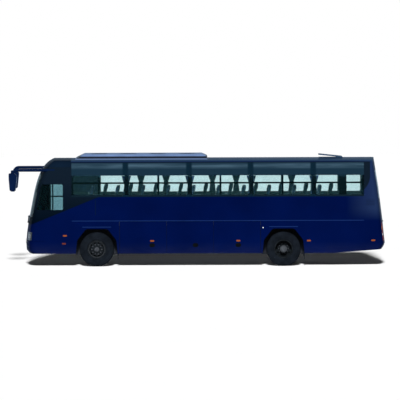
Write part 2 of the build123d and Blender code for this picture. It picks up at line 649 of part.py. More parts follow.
# Luggage hold: a floor, two end walls and a post between each pair of doors
hold_floor_z = SILL_Z + HOLD_FLOOR
hold = block(HOLD_START - HOLD_WALL, HOLD_END + HOLD_WALL, -INNER_HALF, INNER_HALF, SILL_Z, hold_floor_z)
for s in (HOLD_START - HOLD_WALL, HOLD_END):
    hold = hold + block(s, s + HOLD_WALL, -INNER_HALF, INNER_HALF, SILL_Z, floor_low)
for index in range(1, DOORS_A_SIDE):
    s = HOLD_START + index * DOOR_PITCH
    for side in (-1, 1):
        y0, y1 = sorted((side * INNER_HALF, side * (INNER_HALF - 60)))
        hold = hold + block(s - 30, s + 30, y0, y1, hold_floor_z, floor_low)
PARTS["luggage_hold"] = hold


# Wheel hoods that follow the arches, each with a mud flap behind the wheel
def hood(axle_s, flap_y):
    """A bent hood over one wheel, open below for the axle, with its flap."""
    shell = arch(axle_s, -INNER_HALF, -HOOD_INNER_Y, HOOD) - arch(axle_s, -BIG, -HOOD_INNER_Y - HOOD)
    shell = shell & block(axle_s - BIG, axle_s + BIG, -BIG, 0, SILL_Z, BIG)
    shell = shell - block(axle_s - ARCH_HALF, axle_s + ARCH_HALF, -HOOD_INNER_Y - HOOD, 0, 0, HOOD_OPEN_Z)
    leg = axle_s + ARCH_HALF
    return shell + block(leg - 1, leg + HOOD, -INNER_HALF, -flap_y, FLAP_LOW_Z, SILL_Z + 5 * HOOD)


hoods = [hood(FRONT_AXLE_S, WHEEL_Y - TYRE_W / 2), hood(REAR_AXLE_S, WHEEL_Y - TWIN_SPACING - TYRE_W / 2)]
PARTS["wheel_housings"] = group(hoods + [flip(h) for h in hoods])


# Axles
def turned(profile, x, y, z):
    """A profile of (radius, offset along +Y) turned about the wheel's own axle."""
    outline = make_face(Polyline(*profile, close=True))
    return Pos(x, y, z) * revolve(outline, axis=Axis.Y)


BEAM_HALF = 50
BEAM_END_Z = (480, 560)
BEAM_DROP = 40
BOSS_Z = (462, 582)
beam_end_y = KINGPIN_Y - 40
bend_y, drop_y = 780, 640
low, high = BEAM_END_Z
beam_top = [(-beam_end_y, high), (-bend_y, high), (-drop_y, high - BEAM_DROP)]
beam_top += [(-y, z) for y, z in reversed(beam_top)]
beam_outline = beam_top + [(y, z - high + low) for y, z in reversed(beam_top)]
beam = cross_prism(beam_outline, FRONT_AXLE_S - BEAM_HALF, FRONT_AXLE_S + BEAM_HALF)
for side in (-1, 1):
    s0, s1 = sorted((FRONT_AXLE_S + side * BEAM_HALF, FRONT_AXLE_S + side * BEAM_HALF * 0.3))
    beam = beam - block(s0, s1, -drop_y, drop_y, low - BEAM_DROP + 20, high - BEAM_DROP - 20)
for side in (-1, 1):
    y = side * KINGPIN_Y
    beam = beam + rod((FRONT_X, y, BOSS_Z[0]), (FRONT_X, y, BOSS_Z[1]), 60)
    beam = beam - rod((FRONT_X, y, BOSS_Z[0] - 60), (FRONT_X, y, BOSS_Z[1] + 60), KINGPIN_R + RUNNING_FIT)
PARTS["front_axle"] = beam

AXLE_R = 75
DIFF_R = 190
SPINDLE_END = WHEEL_Y + 105
axle_end = WHEEL_Y - 55
axle_profile = [
    (0, -SPINDLE_END), (SPINDLE_R, -SPINDLE_END), (SPINDLE_R, -axle_end), (AXLE_R, -axle_end), (AXLE_R, -300),
    (DIFF_R, -120), (DIFF_R, 120), (AXLE_R, 300), (AXLE_R, axle_end), (SPINDLE_R, axle_end),
    (SPINDLE_R, SPINDLE_END), (0, SPINDLE_END),
]
gearbox_s = REAR_AXLE_S + GEARBOX_BEHIND
rear_seat_z = TYRE_R + AXLE_R + 10
rear_axle = turned(axle_profile, REAR_X, 0, TYRE_R)
rear_axle = rear_axle + rod((REAR_X, 0, TYRE_R), (at(gearbox_s - 30), 0, SHAFT_Z), 50)
for y in (-FRAME_Y, FRAME_Y):
    rear_axle = rear_axle + block(REAR_AXLE_S - 60, REAR_AXLE_S + 60, y - 45, y + 45, TYRE_R, rear_seat_z)
PARTS["rear_axle"] = rear_axle

SPRING_HALF = 580
SPRING_THICK = 55
HANGER_W = 45
SPRING_EYE_Z = FRAME_LOW_Z - 75


def leaf_spring(axle_s, seat_z, y):
    """A bowed spring pack on the axle, with a hanger up to the frame at each end."""
    ends = [(at(axle_s - SPRING_HALF), SPRING_EYE_Z), (at(axle_s + SPRING_HALF), SPRING_EYE_Z)]
    tops = [(x, z + SPRING_THICK) for x, z in ends]
    edges = [
        ThreePointArc(ends[0], (at(axle_s), seat_z), ends[1]), Line(ends[1], tops[1]),
        ThreePointArc(tops[1], (at(axle_s), seat_z + SPRING_THICK), tops[0]), Line(tops[0], ends[0]),
    ]
    spring = extrude(Plane.XZ.offset(-y - FRAME_W / 2) * make_face(edges), amount=FRAME_W)
    for end in (-SPRING_HALF, SPRING_HALF):
        s0, s1 = sorted((axle_s + end, axle_s + end - math.copysign(HANGER_W, end)))
        y0, y1 = y - FRAME_W / 2, y + FRAME_W / 2
        spring = spring + block(s0, s1, y0, y1, SPRING_EYE_Z + SPRING_THICK / 2, FRAME_LOW_Z)
    return spring


front_seat_z = BEAM_END_Z[1] - BEAM_DROP
PARTS["leaf_springs"] = group(
    [leaf_spring(FRONT_AXLE_S, front_seat_z, y) for y in (-FRAME_Y, FRAME_Y)]
    + [leaf_spring(REAR_AXLE_S, rear_seat_z, y) for y in (-FRAME_Y, FRAME_Y)]
)

engine_start = REAR_AXLE_S + ENGINE_BEHIND
engine_half = FRAME_Y - FRAME_W / 2
engine = block(engine_start, TAIL_START - 50, -engine_half, engine_half, 640, floor_low - 10)
PARTS["engine_block"] = engine + block(gearbox_s, engine_start, -240, 240, SHAFT_Z - 130, SHAFT_Z + 270)

# Steering knuckles and tie rod
YOKE_LOW = (400, 456)
YOKE_HIGH = (588, 640)
ARM_Z = (410, 446)
tie_x = FRONT_X + STEER_ARM


def knuckle(side):
    """A forked knuckle on its kingpin, with the wheel spindle and the steering arm straight behind."""
    y = side * KINGPIN_Y
    plate_y = side * (KINGPIN_Y + 66)
    body = rod((FRONT_X, y, YOKE_LOW[0]), (FRONT_X, y, YOKE_HIGH[1]), KINGPIN_R)
    y0, y1 = sorted((plate_y, plate_y + side * 30))
    body = body + block(FRONT_AXLE_S - 50, FRONT_AXLE_S + 50, y0, y1, YOKE_LOW[0], YOKE_HIGH[1])
    y0, y1 = sorted((y, plate_y))
    for low, high in (YOKE_LOW, YOKE_HIGH):
        body = body + rod((FRONT_X, y, low), (FRONT_X, y, high), 50)
        body = body + block(FRONT_AXLE_S - 40, FRONT_AXLE_S + 40, y0, y1, low, high)
    body = body + rod((FRONT_X, plate_y, TYRE_R), (FRONT_X, side * (WHEEL_Y + 95), TYRE_R), SPINDLE_R)
    arm_end = FRONT_AXLE_S + STEER_ARM
    body = body + block(FRONT_AXLE_S, arm_end, y - 25, y + 25, *ARM_Z)
    body = body + rod((tie_x, y, ARM_Z[0]), (tie_x, y, ARM_Z[1]), 30)
    return body - rod((tie_x, y, ARM_Z[0] - 30), (tie_x, y, ARM_Z[1] + 30), TIE_PIN_R + RUNNING_FIT)


PARTS["knuckle_left"] = knuckle(-1)
PARTS["knuckle_right"] = knuckle(1)
tie_rod = rod((tie_x, -KINGPIN_Y, TIE_ROD_Z), (tie_x, KINGPIN_Y, TIE_ROD_Z), TIE_ROD_R)
for y in (-KINGPIN_Y, KINGPIN_Y):
    tie_rod = tie_rod + rod((tie_x, y, TIE_ROD_Z - TIE_ROD_R - 3), (tie_x, y, ARM_Z[0] - 2), TIE_ROD_R + 7)
    tie_rod = tie_rod + rod((tie_x, y, TIE_ROD_Z), (tie_x, y, ARM_Z[1]), TIE_PIN_R)
PARTS["tie_rod"] = tie_rod

# Wheels: tyre and rims turned about the axle, hand holes through the discs
TREAD_W = 220
TYRE = [
    (RIM_R, -BEAD_W / 2), (RIM_R + 130, -TYRE_W / 2), (TYRE_R, -TREAD_W / 2),
    (TYRE_R, TREAD_W / 2), (RIM_R + 130, TYRE_W / 2), (RIM_R, BEAD_W / 2),
]
BORE = SPINDLE_R + RUNNING_FIT
HOLE_RING = 200


def hand_holes(x, y, y0, y1):
    """The ring of hand holes as rods, from y0 to y1 beside the wheel's middle."""
    holes = []
    for index in range(HAND_HOLES):
        hx, hz = polar((x, TYRE_R), HOLE_RING, 360 * index / HAND_HOLES)
        holes.append(rod((hx, y + y0, hz), (hx, y + y1, hz), HAND_HOLE_R))
    return holes


def front_rim(side):
    """A dished steel wheel: flanged barrel, a disc that cones out to the hub."""
    flange = RIM_FLANGE * side
    profile = [
        (RIM_R, -flange), (RIM_R, flange), (RIM_R - 31, flange), (240, 70 * side), (HUB_R, 122 * side),
        (BORE, 122 * side), (BORE, -10 * side), (HUB_R, -10 * side), (235, 45 * side), (RIM_R - 24, -flange),
    ]
    rim = turned(profile, FRONT_X, side * WHEEL_Y, TYRE_R)
    for hole in hand_holes(FRONT_X, side * WHEEL_Y, *sorted((0, 115 * side))):
        rim = rim - hole
    return rim


def rear_rims(side):
    """Twin wheels as one piece: a deep outer dish with the hub standing out of it."""
    flange = RIM_FLANGE * side
    inner = -(TWIN_SPACING * side + flange)
    profile = [
        (RIM_R, flange), (RIM_R - 31, flange), (245, -130 * side), (REAR_HUB_R, -130 * side),
        (REAR_HUB_R, 90 * side), (BORE, 90 * side), (BORE, -45 * side), (REAR_HUB_R, -45 * side),
        (REAR_HUB_R, -160 * side), (240, -160 * side), (RIM_R - 31, inner), (RIM_R, inner),
    ]
    rims = turned(profile, REAR_X, side * WHEEL_Y, TYRE_R)
    for hole in hand_holes(REAR_X, side * WHEEL_Y, *sorted((-170 * side, -120 * side))):
        rims = rims - hole
    return rims


for side, name in ((-1, "left"), (1, "right")):
    PARTS[f"front_rim_{name}"] = front_rim(side)
    PARTS[f"front_tyre_{name}"] = turned(TYRE, FRONT_X, side * WHEEL_Y, TYRE_R)
    PARTS[f"rear_rims_{name}"] = rear_rims(side)
    inner_y = side * (WHEEL_Y - TWIN_SPACING)
    PARTS[f"rear_tyres_{name}"] = group(
        [turned(TYRE, REAR_X, side * WHEEL_Y, TYRE_R), turned(TYRE, REAR_X, inner_y, TYRE_R)]
    )

# Cooling pod on the roof, with a row of fan wells
pod_start = QUARTER_END + POD_TO_QUARTER
pod_end = pod_start + POD_LENGTH
pod_foot = GLASS_TOP_Z + 40
pod_side = [
    (pod_start, pod_foot), (pod_start + 13, pod_foot + 70), (pod_start + POD_RAMP, POD_TOP_Z),
    (pod_end - POD_ROUND, POD_TOP_Z), (pod_end, POD_TOP_Z - 80), (pod_end, pod_foot),
]
pod_section = [
    (-POD_HALF, pod_foot), (-POD_HALF, POD_TOP_Z - 100), (-POD_TOP_HALF, POD_TOP_Z), (POD_TOP_HALF, POD_TOP_Z),
    (POD_HALF, POD_TOP_Z - 100), (POD_HALF, pod_foot),
]
pod = side_prism(pod_side, -POD_HALF, POD_HALF, 60, [2, 3, 4])
pod = pod & cross_prism(pod_section, pod_start - 50, pod_end + 50)
fan_pitch = (POD_LENGTH - POD_RAMP - POD_ROUND) / POD_FANS
for index in range(POD_FANS):
    x = at(pod_start + POD_RAMP + (index + 0.5) * fan_pitch)
    well = rod((x, 0, POD_TOP_Z - POD_FAN_DEPTH), (x, 0, POD_TOP_Z + 10), POD_FAN_R)
    pod = pod - (well - rod((x, 0, POD_TOP_Z - POD_FAN_DEPTH - 10), (x, 0, POD_TOP_Z - 15), POD_FAN_HUB_R))
PARTS["ac_unit"] = pod - TUBE_OUT

# Seats: pedestal, cushion and leaning back in one outline of (distance, height) points
SEAT = [
    (110, 0), (350, 0), (350, 330), (450, 340), (640, 1090), (630, 1125), (565, 1137), (525, 1100),
    (420, 480), (400, 455), (30, 470), (0, 440), (0, 360), (110, 330),
]
SEAT_WALL_GAP = 50
seats = []
for row in range(SEAT_ROWS):
    profile = [(SEAT_FIRST_S + row * SEAT_PITCH + x, FLOOR_Z + z) for x, z in SEAT]
    seat = side_prism(profile, -INNER_HALF + SEAT_WALL_GAP, -AISLE_HALF)
    seats.append(seat)
    if row < SEAT_ROWS - 1:
        seats.append(Pos(SEAT_PITCH / 2, 0, 0) * flip(seat))
bench = [(BENCH_S + x, FLOOR_Z + z) for x, z in SEAT]
bench_half = INNER_HALF - SEAT_WALL_GAP - 30
seats.append(side_prism(bench, -bench_half, bench_half))
PARTS["passenger_seats"] = group(seats)
DRIVER_S = QUARTER_END - 500
DRIVER_Y = -640
DRIVER_HALF = 240
driver = [(DRIVER_S + x * 0.85, CAB_FLOOR_Z + z) for x, z in SEAT]
PARTS["driver_seat"] = side_prism(driver, DRIVER_Y - DRIVER_HALF, DRIVER_Y + DRIVER_HALF)

# Luggage racks along both sides, over the windows
RACK_Z = 2776
rack_start, rack_end = QUARTER_END + 300, TAIL_START - 150
rack_section = [
    (-HALF - 50, RACK_Z), (-800, RACK_Z + 14), (-760, RACK_Z + 84),
    (-790, RACK_Z + 94), (-820, RACK_Z + 54), (-HALF - 50, RACK_Z + 39),
]
rack = cross_prism(rack_section, rack_start, rack_end) & tube(WALL, rack_start, rack_end)
PARTS["luggage_racks"] = group([rack, flip(rack)])

# Dashboard and steering wheel
dash = [(390, CAB_FLOOR_Z), (390, 1440), (640, 1500), (760, 1430), (700, 1250), (560, 1200), (560, CAB_FLOOR_Z)]
PARTS["dashboard"] = side_prism(dash, -950, 300, 30, [1, 2, 3, 4, 5])
WHEEL_HOOP_R = 225
hoop_plane = Plane(origin=(at(800), DRIVER_Y, 1560), z_dir=(0.5, 0, 0.87))
hoop = extrude(hoop_plane * (Circle(WHEEL_HOOP_R) - Circle(WHEEL_HOOP_R - 25)), amount=25)
hoop = hoop + extrude(hoop_plane * Rectangle(45, 2 * WHEEL_HOOP_R - 40), amount=18)
hoop = hoop + extrude(hoop_plane * Circle(60), amount=20)
column_end = hoop_plane.origin - hoop_plane.z_dir * 250
column = rod(tuple(column_end), tuple(hoop_plane.origin), 25)
PARTS["steering_wheel"] = (hoop + column) - PARTS["dashboard"]

# Mirrors: an arm that comes out of the cap, bends down and carries the tapered head
MIRROR_Y = 1180
MIRROR_ARM_Z = 2945
MIRROR_ARM_R = 45
MIRROR_BEND_R = 150
MIRROR_HALF_W = 130


def mirror_unit():
    """The left mirror."""
    bend_s = -MIRROR_REACH / 2
    bend = (at(bend_s), -MIRROR_Y, MIRROR_ARM_Z)
    mid = polar((at(bend_s), MIRROR_ARM_Z - MIRROR_BEND_R), MIRROR_BEND_R, 135)
    end = (at(bend_s - MIRROR_BEND_R), -MIRROR_Y, MIRROR_ARM_Z - MIRROR_BEND_R)
    arm = rod((at(MASK_END + 280), -MIRROR_Y, MIRROR_ARM_Z), bend, MIRROR_ARM_R)
    path = ThreePointArc(bend, (mid[0], -MIRROR_Y, mid[1]), end)
    arm = arm + sweep(Plane(origin=bend, z_dir=(-1, 0, 0)) * Circle(MIRROR_ARM_R), path=path)
    head = [
        (-MIRROR_REACH, 2850), (-330, 2853), (-245, 2780), (-290, 2330),
        (-330, 2301), (-420, 2301), (-470, 2340), (-MIRROR_REACH, 2700),
    ]
    unit = arm + side_prism(head, -MIRROR_Y - MIRROR_HALF_W, -MIRROR_Y + MIRROR_HALF_W, 25)
    return unit - NOSE_HIGH_OUT


mirror_left = mirror_unit()
PARTS["mirrors"] = group([mirror_left, flip(mirror_left)])

# Wipers: a blade that follows the bow of the screen, a post through the mask and a stalk
WIPER_Z = 1470
WIPER_POST_Z = 1330
WIPER_SCREEN_S = 98


def wiper(y_pivot, y0, y1):
    """One wiper, its blade from y0 to y1."""
    bow_centre = at(WIPER_SCREEN_S) + NOSE_BOW_R
    arc = Circle(NOSE_BOW_R + 45) - Circle(NOSE_BOW_R + 22)
    blade = extrude(Plane(origin=(bow_centre, 0, WIPER_Z)) * arc, amount=25)
    blade = blade & block(-200, 400, y0, y1, WIPER_Z - 10, WIPER_Z + 40)
    arm_x = at(50 + bow_sag(y_pivot))
    post = rod((arm_x + 60, y_pivot, WIPER_POST_Z), (arm_x - 20, y_pivot, WIPER_POST_Z), 22) - NOSE_LOW_OUT
    stalk = rod((arm_x - 8, y_pivot, WIPER_POST_Z), (arm_x + 12, y_pivot, WIPER_Z + 12), 10)
    return blade + post + (stalk - NOSE_HIGH_OUT - NOSE_LOW_OUT)


PARTS["wipers"] = group([wiper(-450, -900, -60), wiper(450, 60, 900)])

# Curtains tied in the middle: heights and half widths at the top, the tie and the hem
CURTAIN = [(2770, 150), (2480, 70), (2180, 110)]
CURTAIN_THICK = 40
# On the right they are drawn into the windows: pane counted from the front, share of its length
CURTAINS_RIGHT = [(1, 0.22), (1, 0.62), (2, 0.37), (2, 0.76), (3, 0.66)]


def curtain(s):
    """One tied curtain on the left at a distance s behind the nose."""
    outline = [(s - half, z) for z, half in CURTAIN] + [(s + half, z) for z, half in reversed(CURTAIN)]
    cloth = side_prism(outline, -INNER_HALF, -INNER_HALF + CURTAIN_THICK)
    return cloth & tube(WALL, rack_start, rack_end)


right_places = [
    pane_edges[pane] + share * (pane_edges[pane + 1] - pane_edges[pane]) for pane, share in CURTAINS_RIGHT
]
PARTS["curtains"] = group([curtain(s) for s in pane_edges[1:-1]] + [flip(curtain(s)) for s in right_places])

os.makedirs("parts", exist_ok=True)
for name, shape in PARTS.items():
    export_step(shape, f"parts/{name}.step")
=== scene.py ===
"""Dresses the coach bus: paint, glass, tyres, seats, curtains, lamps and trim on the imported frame."""

import logging
import math
from dataclasses import dataclass
from enum import Enum

import bmesh
import bpy
import numpy as np
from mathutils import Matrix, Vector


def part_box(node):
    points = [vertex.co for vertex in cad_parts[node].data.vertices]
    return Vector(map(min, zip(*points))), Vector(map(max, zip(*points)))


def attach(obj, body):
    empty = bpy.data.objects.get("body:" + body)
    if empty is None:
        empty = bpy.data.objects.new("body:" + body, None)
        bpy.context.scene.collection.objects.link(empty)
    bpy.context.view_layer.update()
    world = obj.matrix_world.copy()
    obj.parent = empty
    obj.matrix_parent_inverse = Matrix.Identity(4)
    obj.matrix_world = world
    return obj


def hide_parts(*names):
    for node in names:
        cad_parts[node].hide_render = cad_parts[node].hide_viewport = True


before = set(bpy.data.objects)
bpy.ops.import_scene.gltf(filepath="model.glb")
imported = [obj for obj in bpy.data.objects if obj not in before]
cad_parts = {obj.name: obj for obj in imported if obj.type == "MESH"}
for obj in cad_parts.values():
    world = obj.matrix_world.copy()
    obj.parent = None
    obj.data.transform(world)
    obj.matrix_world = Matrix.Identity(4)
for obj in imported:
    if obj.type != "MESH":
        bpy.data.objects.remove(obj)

LOG = logging.getLogger("coach")
Array = np.ndarray
Colour = tuple[float, float, float]
Triple = tuple[float, float, float]
Socket = bpy.types.NodeSocket
Material = bpy.types.Material
TURN = 2 * math.pi
# Where one side pane ends and the next begins, in metres behind the nose
PANE_BORDERS = (3.06, 5.00, 6.88, 8.79)
# Between these values lies most of a noise
NOISE_SPAN = (0.3, 0.7)


class Side(Enum):
    """A side of the coach, with the sign of Y there."""

    LEFT = -1
    RIGHT = 1

    @property
    def word(self) -> str:
        """The side's name as the nodes write it."""
        return self.name.lower()


@dataclass(frozen=True)
class Datum:
    """The places that every sub-assembly measures from, in metres, read from the frame."""

    nose: float
    tail: float
    half: float
    front_axle: float
    rear_axle: float
    hub_z: float
    wheel_y: float

    @classmethod
    def read(cls) -> "Datum":
        """Returns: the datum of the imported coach."""
        mask, rear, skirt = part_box("front_mask"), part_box("rear_lower_panel"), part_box("skirt_panels")
        front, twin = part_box("front_tyre_left"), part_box("rear_tyres_left")
        return cls(
            nose=mask[0][0],
            tail=rear[1][0],
            half=skirt[1][1],
            front_axle=(front[0][0] + front[1][0]) / 2,
            rear_axle=(twin[0][0] + twin[1][0]) / 2,
            hub_z=(front[0][2] + front[1][2]) / 2,
            wheel_y=-(front[0][1] + front[1][1]) / 2,
        )

    def at(self, s: float) -> float:
        """Returns: X of a place s metres behind the nose."""
        return self.nose + s


class Graph:
    """A material's node tree, built from its Principled shader backwards."""

    def __init__(self, name: str) -> None:
        """Makes a plain material.

        Args:
            name: the material's name.
        """
        self.material = bpy.data.materials.new(name)
        self.material.use_nodes = True
        self.tree = self.material.node_tree
        self.shader = self.tree.nodes["Principled BSDF"]
        coordinates = self.tree.nodes.new("ShaderNodeTexCoord")
        self.place = coordinates.outputs["Object"]
        parts = self.tree.nodes.new("ShaderNodeSeparateXYZ")
        self.tree.links.new(self.place, parts.inputs[0])
        self.x, self.y, self.z = parts.outputs[:3]

    def join(self, value: object, socket: Socket) -> None:
        """Links a socket, or sets a plain value, on an input.

        Args:
            value: a socket, a number or a colour.
            socket: the input.
        """
        if isinstance(value, Socket):
            self.tree.links.new(value, socket)
        elif isinstance(value, tuple) and len(value) == 3 and socket.type == "RGBA":
            socket.default_value = (*value, 1.0)
        else:
            socket.default_value = value

    def put(self, name: str, value: object) -> None:
        """Sets or links one input of the shader."""
        self.join(value, self.shader.inputs[name])

    def math(self, operation: str, first: object, second: object = 0.0) -> Socket:
        """Joins two values by a math node.

        Args:
            operation: the node's operation.
            first: its first value.
            second: its second value.
        Returns: the node's output.
        """
        node = self.tree.nodes.new("ShaderNodeMath")
        node.operation = operation
        self.join(first, node.inputs[0])
        self.join(second, node.inputs[1])
        return node.outputs[0]

    def chain(self, operation: str, values: list[object]) -> Socket:
        """Joins several values by one operation.

        Args:
            operation: the math nodes' operation.
            values: the values in order.
        Returns: the last node's output.
        """
        total = values[0]
        for value in values[1:]:
            total = self.math(operation, total, value)
        return total

    def between(self, value: object, low: float, high: float) -> Socket:
        """Returns: one where a value lies between two limits, else zero."""
        above = self.math("GREATER_THAN", value, low)
        return self.math("MULTIPLY", above, self.math("LESS_THAN", value, high))

    def near(self, value: object, centre: float, width: float) -> Socket:
        """Returns: one on a line of that width about centre, else zero."""
        offset = self.math("ABSOLUTE", self.math("SUBTRACT", value, centre))
        return self.math("LESS_THAN", offset, width / 2)

    def ramp(self, value: object, low: float, high: float, start: float, end: float) -> Socket:
        """Maps a value in a straight line, held at the ends.

        Args:
            value: the value.
            low: where the line starts.
            high: where it ends.
            start: the result at low.
            end: the result at high.
        Returns: the mapped value.
        """
        node = self.tree.nodes.new("ShaderNodeMapRange")
        for socket, number in zip(node.inputs, (value, low, high, start, end)):
            self.join(number, socket)
        return node.outputs[0]

    def mix(self, factor: object, first: object, second: object) -> Socket:
        """Mixes two colours.

        Args:
            factor: share of the second colour.
            first: the first colour.
            second: the second colour.
        Returns: the mixed colour.
        """
        node = self.tree.nodes.new("ShaderNodeMix")
        node.data_type = "RGBA"
        for socket, value in ((node.inputs[0], factor), (node.inputs[6], first), (node.inputs[7], second)):
            self.join(value, socket)
        return node.outputs[2]

    def noise(self, scale: float, detail: float = 4.0, stretch: Triple = (1, 1, 1)) -> Socket:
        """Makes noise on the object's own coordinates.

        Args:
            scale: how fine it is.
            detail: how many layers it has.
            stretch: scale along each axis.
        Returns: the noise, about zero to one.
        """
        mapping = self.tree.nodes.new("ShaderNodeMapping")
        mapping.inputs["Scale"].default_value = stretch
        self.tree.links.new(self.place, mapping.inputs["Vector"])
        node = self.tree.nodes.new("ShaderNodeTexNoise")
        node.inputs["Scale"].default_value = scale
        node.inputs["Detail"].default_value = detail
        self.tree.links.new(mapping.outputs[0], node.inputs["Vector"])
        return node.outputs[0]

    def wave(self, value: object, pitch: float) -> Socket:
        """Returns: a sine of a coordinate with that pitch, from minus one to one."""
        return self.math("SINE", self.math("MULTIPLY", value, TURN / pitch))

    def bump(self, height: object, strength: float, depth: float) -> None:
        """Feeds the shader's normal from a height.

        Args:
            height: the height.
            strength: share of the bump.
            depth: metres for a height of one.
        """
        node = self.tree.nodes.new("ShaderNodeBump")
        node.inputs["Strength"].default_value = strength
        node.inputs["Distance"].default_value = depth
        self.join(height, node.inputs["Height"])
        self.put("Normal", node.outputs[0])


@dataclass(frozen=True)
class Finish:
    """A finish with cloudy colour, uneven gloss and a fine grain."""

    name: str
    colour: Colour
    rough: float = 0.5
    metal: float = 0.0
    specular: float = 0.4
    grain: float = 300.0
    depth: float = 0.0004
    spread: float = 0.25
    cloud: float = 3.0
    index: float = 1.45

    def shade(self, amount: float) -> Colour:
        """Returns: the colour made lighter or darker by a share."""
        return tuple(min(1.0, channel * (1 + amount)) for channel in self.colour)

    def start(self) -> Graph:
        """Returns: a graph with gloss and grain set."""
        graph = Graph(self.name)
        graph.put("Metallic", self.metal)
        graph.put("Specular IOR Level", self.specular)
        graph.put("IOR", self.index)
        cloud = graph.noise(self.cloud)
        graph.put("Roughness", graph.ramp(cloud, *NOISE_SPAN, self.rough * 0.8, min(1.0, self.rough * 1.2)))
        graph.bump(graph.noise(self.grain), 0.5, self.depth)
        return graph

    def tone(self, graph: Graph) -> Socket:
        """Returns: the cloudy base colour."""
        cloud = graph.ramp(graph.noise(self.cloud, 5.0), *NOISE_SPAN, 0.0, 1.0)
        return graph.mix(cloud, self.shade(-self.spread), self.shade(self.spread))

    def build(self) -> Material:
        """Returns: the finished material."""
        graph = self.start()
        graph.put("Base Color", self.tone(graph))
        return graph.material


@dataclass(frozen=True)
class CoachPaint(Finish):
    """Blue body paint with a painted sky reflection on the roof and the upper tail, a black window band,
    sill dust and pale lining.
    """

    band: Colour = (0.0025, 0.0055, 0.0105)
    band_low: Colour = (0.0003, 0.0016, 0.0042)
    dust: Colour = (0.030, 0.032, 0.040)
    lining: Colour = (0.08, 0.10, 0.12)
    nose: float = 0.0
    slope_start: float = 0.23
    slope_z: float = 1.305
    slope: float = 0.406
    front_z: float = 1.25
    belt_z: float = 2.126
    top_z: float = 3.18
    tail_start: float = 9.79
    tail_end: float = 10.525
    tail_rise: float = 0.62
    inner_y: float = 1.205
    # Painted sky reflection on the upper tail, as a lighter blue-grey
    tail_reflection: Colour = (0.0064, 0.0140, 0.0430)
    # Painted sky reflection on the roof, as a lighter blue, and how softly it starts
    roof: Colour = (0.0150, 0.0340, 0.0680)
    roof_soft: float = 0.05
    band_full_z: float = 2.6
    seam_s: float = 2.145
    seam_width: float = 0.012
    seam_z: tuple[float, float] = (1.57, 2.03)
    # Where the painted sky reflection on the tail grows in, along and up
    tail_reflection_s: tuple[float, float] = (9.8, 10.7)
    tail_reflection_z: tuple[float, float] = (1.38, 1.75)
    dust_z: tuple[float, float] = (0.40, 0.75)
    dust_share: float = 0.14
    lining_s: tuple[float, float] = (1.39, 10.3)
    lining_z: tuple[float, float] = (1.2, 2.7)

    def band_mask(self, graph: Graph) -> Socket:
        """The band's lower edge: a slope up from the nose, a level run and a quarter ellipse at the tail.

        Args:
            graph: the material's nodes.
        Returns: one on the black band, zero on the blue.
        """
        s = graph.math("SUBTRACT", graph.x, self.nose)
        run = graph.math("SUBTRACT", s, self.slope_start)
        line = graph.math("MULTIPLY_ADD", run, self.slope)
        line.node.inputs[2].default_value = self.slope_z
        edge = graph.math("MINIMUM", graph.math("MAXIMUM", line, self.front_z), self.belt_z)
        t = graph.ramp(s, self.tail_start, self.tail_end, 0.0, 1.0)
        drop = graph.math("SQRT", graph.math("SUBTRACT", 1.0, graph.math("MULTIPLY", t, t)))
        rise = graph.math("MULTIPLY", graph.math("SUBTRACT", 1.0, drop), self.tail_rise)
        edge = graph.math("ADD", edge, rise)
        above = graph.math("GREATER_THAN", graph.z, edge)
        ahead = graph.math("LESS_THAN", s, self.tail_end)
        below = graph.math("LESS_THAN", graph.z, self.top_z)
        return graph.chain("MULTIPLY", [above, ahead, below])

    def build(self) -> Material:
        """Returns: the finished material."""
        graph = self.start()
        dusty = graph.ramp(graph.z, *self.dust_z, self.dust_share, 0.0)
        dusty = graph.math("MULTIPLY", dusty, graph.noise(6.0, 6.0, (0.4, 1, 1)))
        blue = graph.mix(dusty, self.tone(graph), self.dust)
        s = graph.math("SUBTRACT", graph.x, self.nose)
        # Painted sky reflection: the upper tail turns lighter blue-grey towards the rear
        reflection = graph.ramp(s, *self.tail_reflection_s, 0.0, 1.0)
        reflection = graph.math("MULTIPLY", reflection, graph.ramp(graph.z, *self.tail_reflection_z, 0.0, 1.0))
        blue = graph.mix(reflection, blue, self.tail_reflection)
        # Painted sky reflection: a lighter blue on the roof above the cantrail
        high = graph.ramp(graph.z, self.top_z, self.top_z + self.roof_soft, 0.0, 1.0)
        blue = graph.mix(high, blue, self.roof)
        seam = graph.near(s, self.seam_s, self.seam_width)
        seam = graph.math("MULTIPLY", seam, graph.between(graph.z, *self.seam_z))
        blue = graph.mix(seam, blue, self.band)
        full = graph.ramp(graph.z, self.slope_z, self.band_full_z, 0.0, 1.0)
        band = graph.mix(full, self.band_low, self.band)
        outside = graph.mix(self.band_mask(graph), blue, band)
        inside = graph.math("LESS_THAN", graph.math("ABSOLUTE", graph.y), self.inner_y)
        inside = graph.math("MULTIPLY", inside, graph.between(graph.z, *self.lining_z))
        along = graph.between(graph.x, *(self.nose + end for end in self.lining_s))
        graph.put("Base Color", graph.mix(graph.math("MULTIPLY", inside, along), outside, self.lining))
        return graph.material


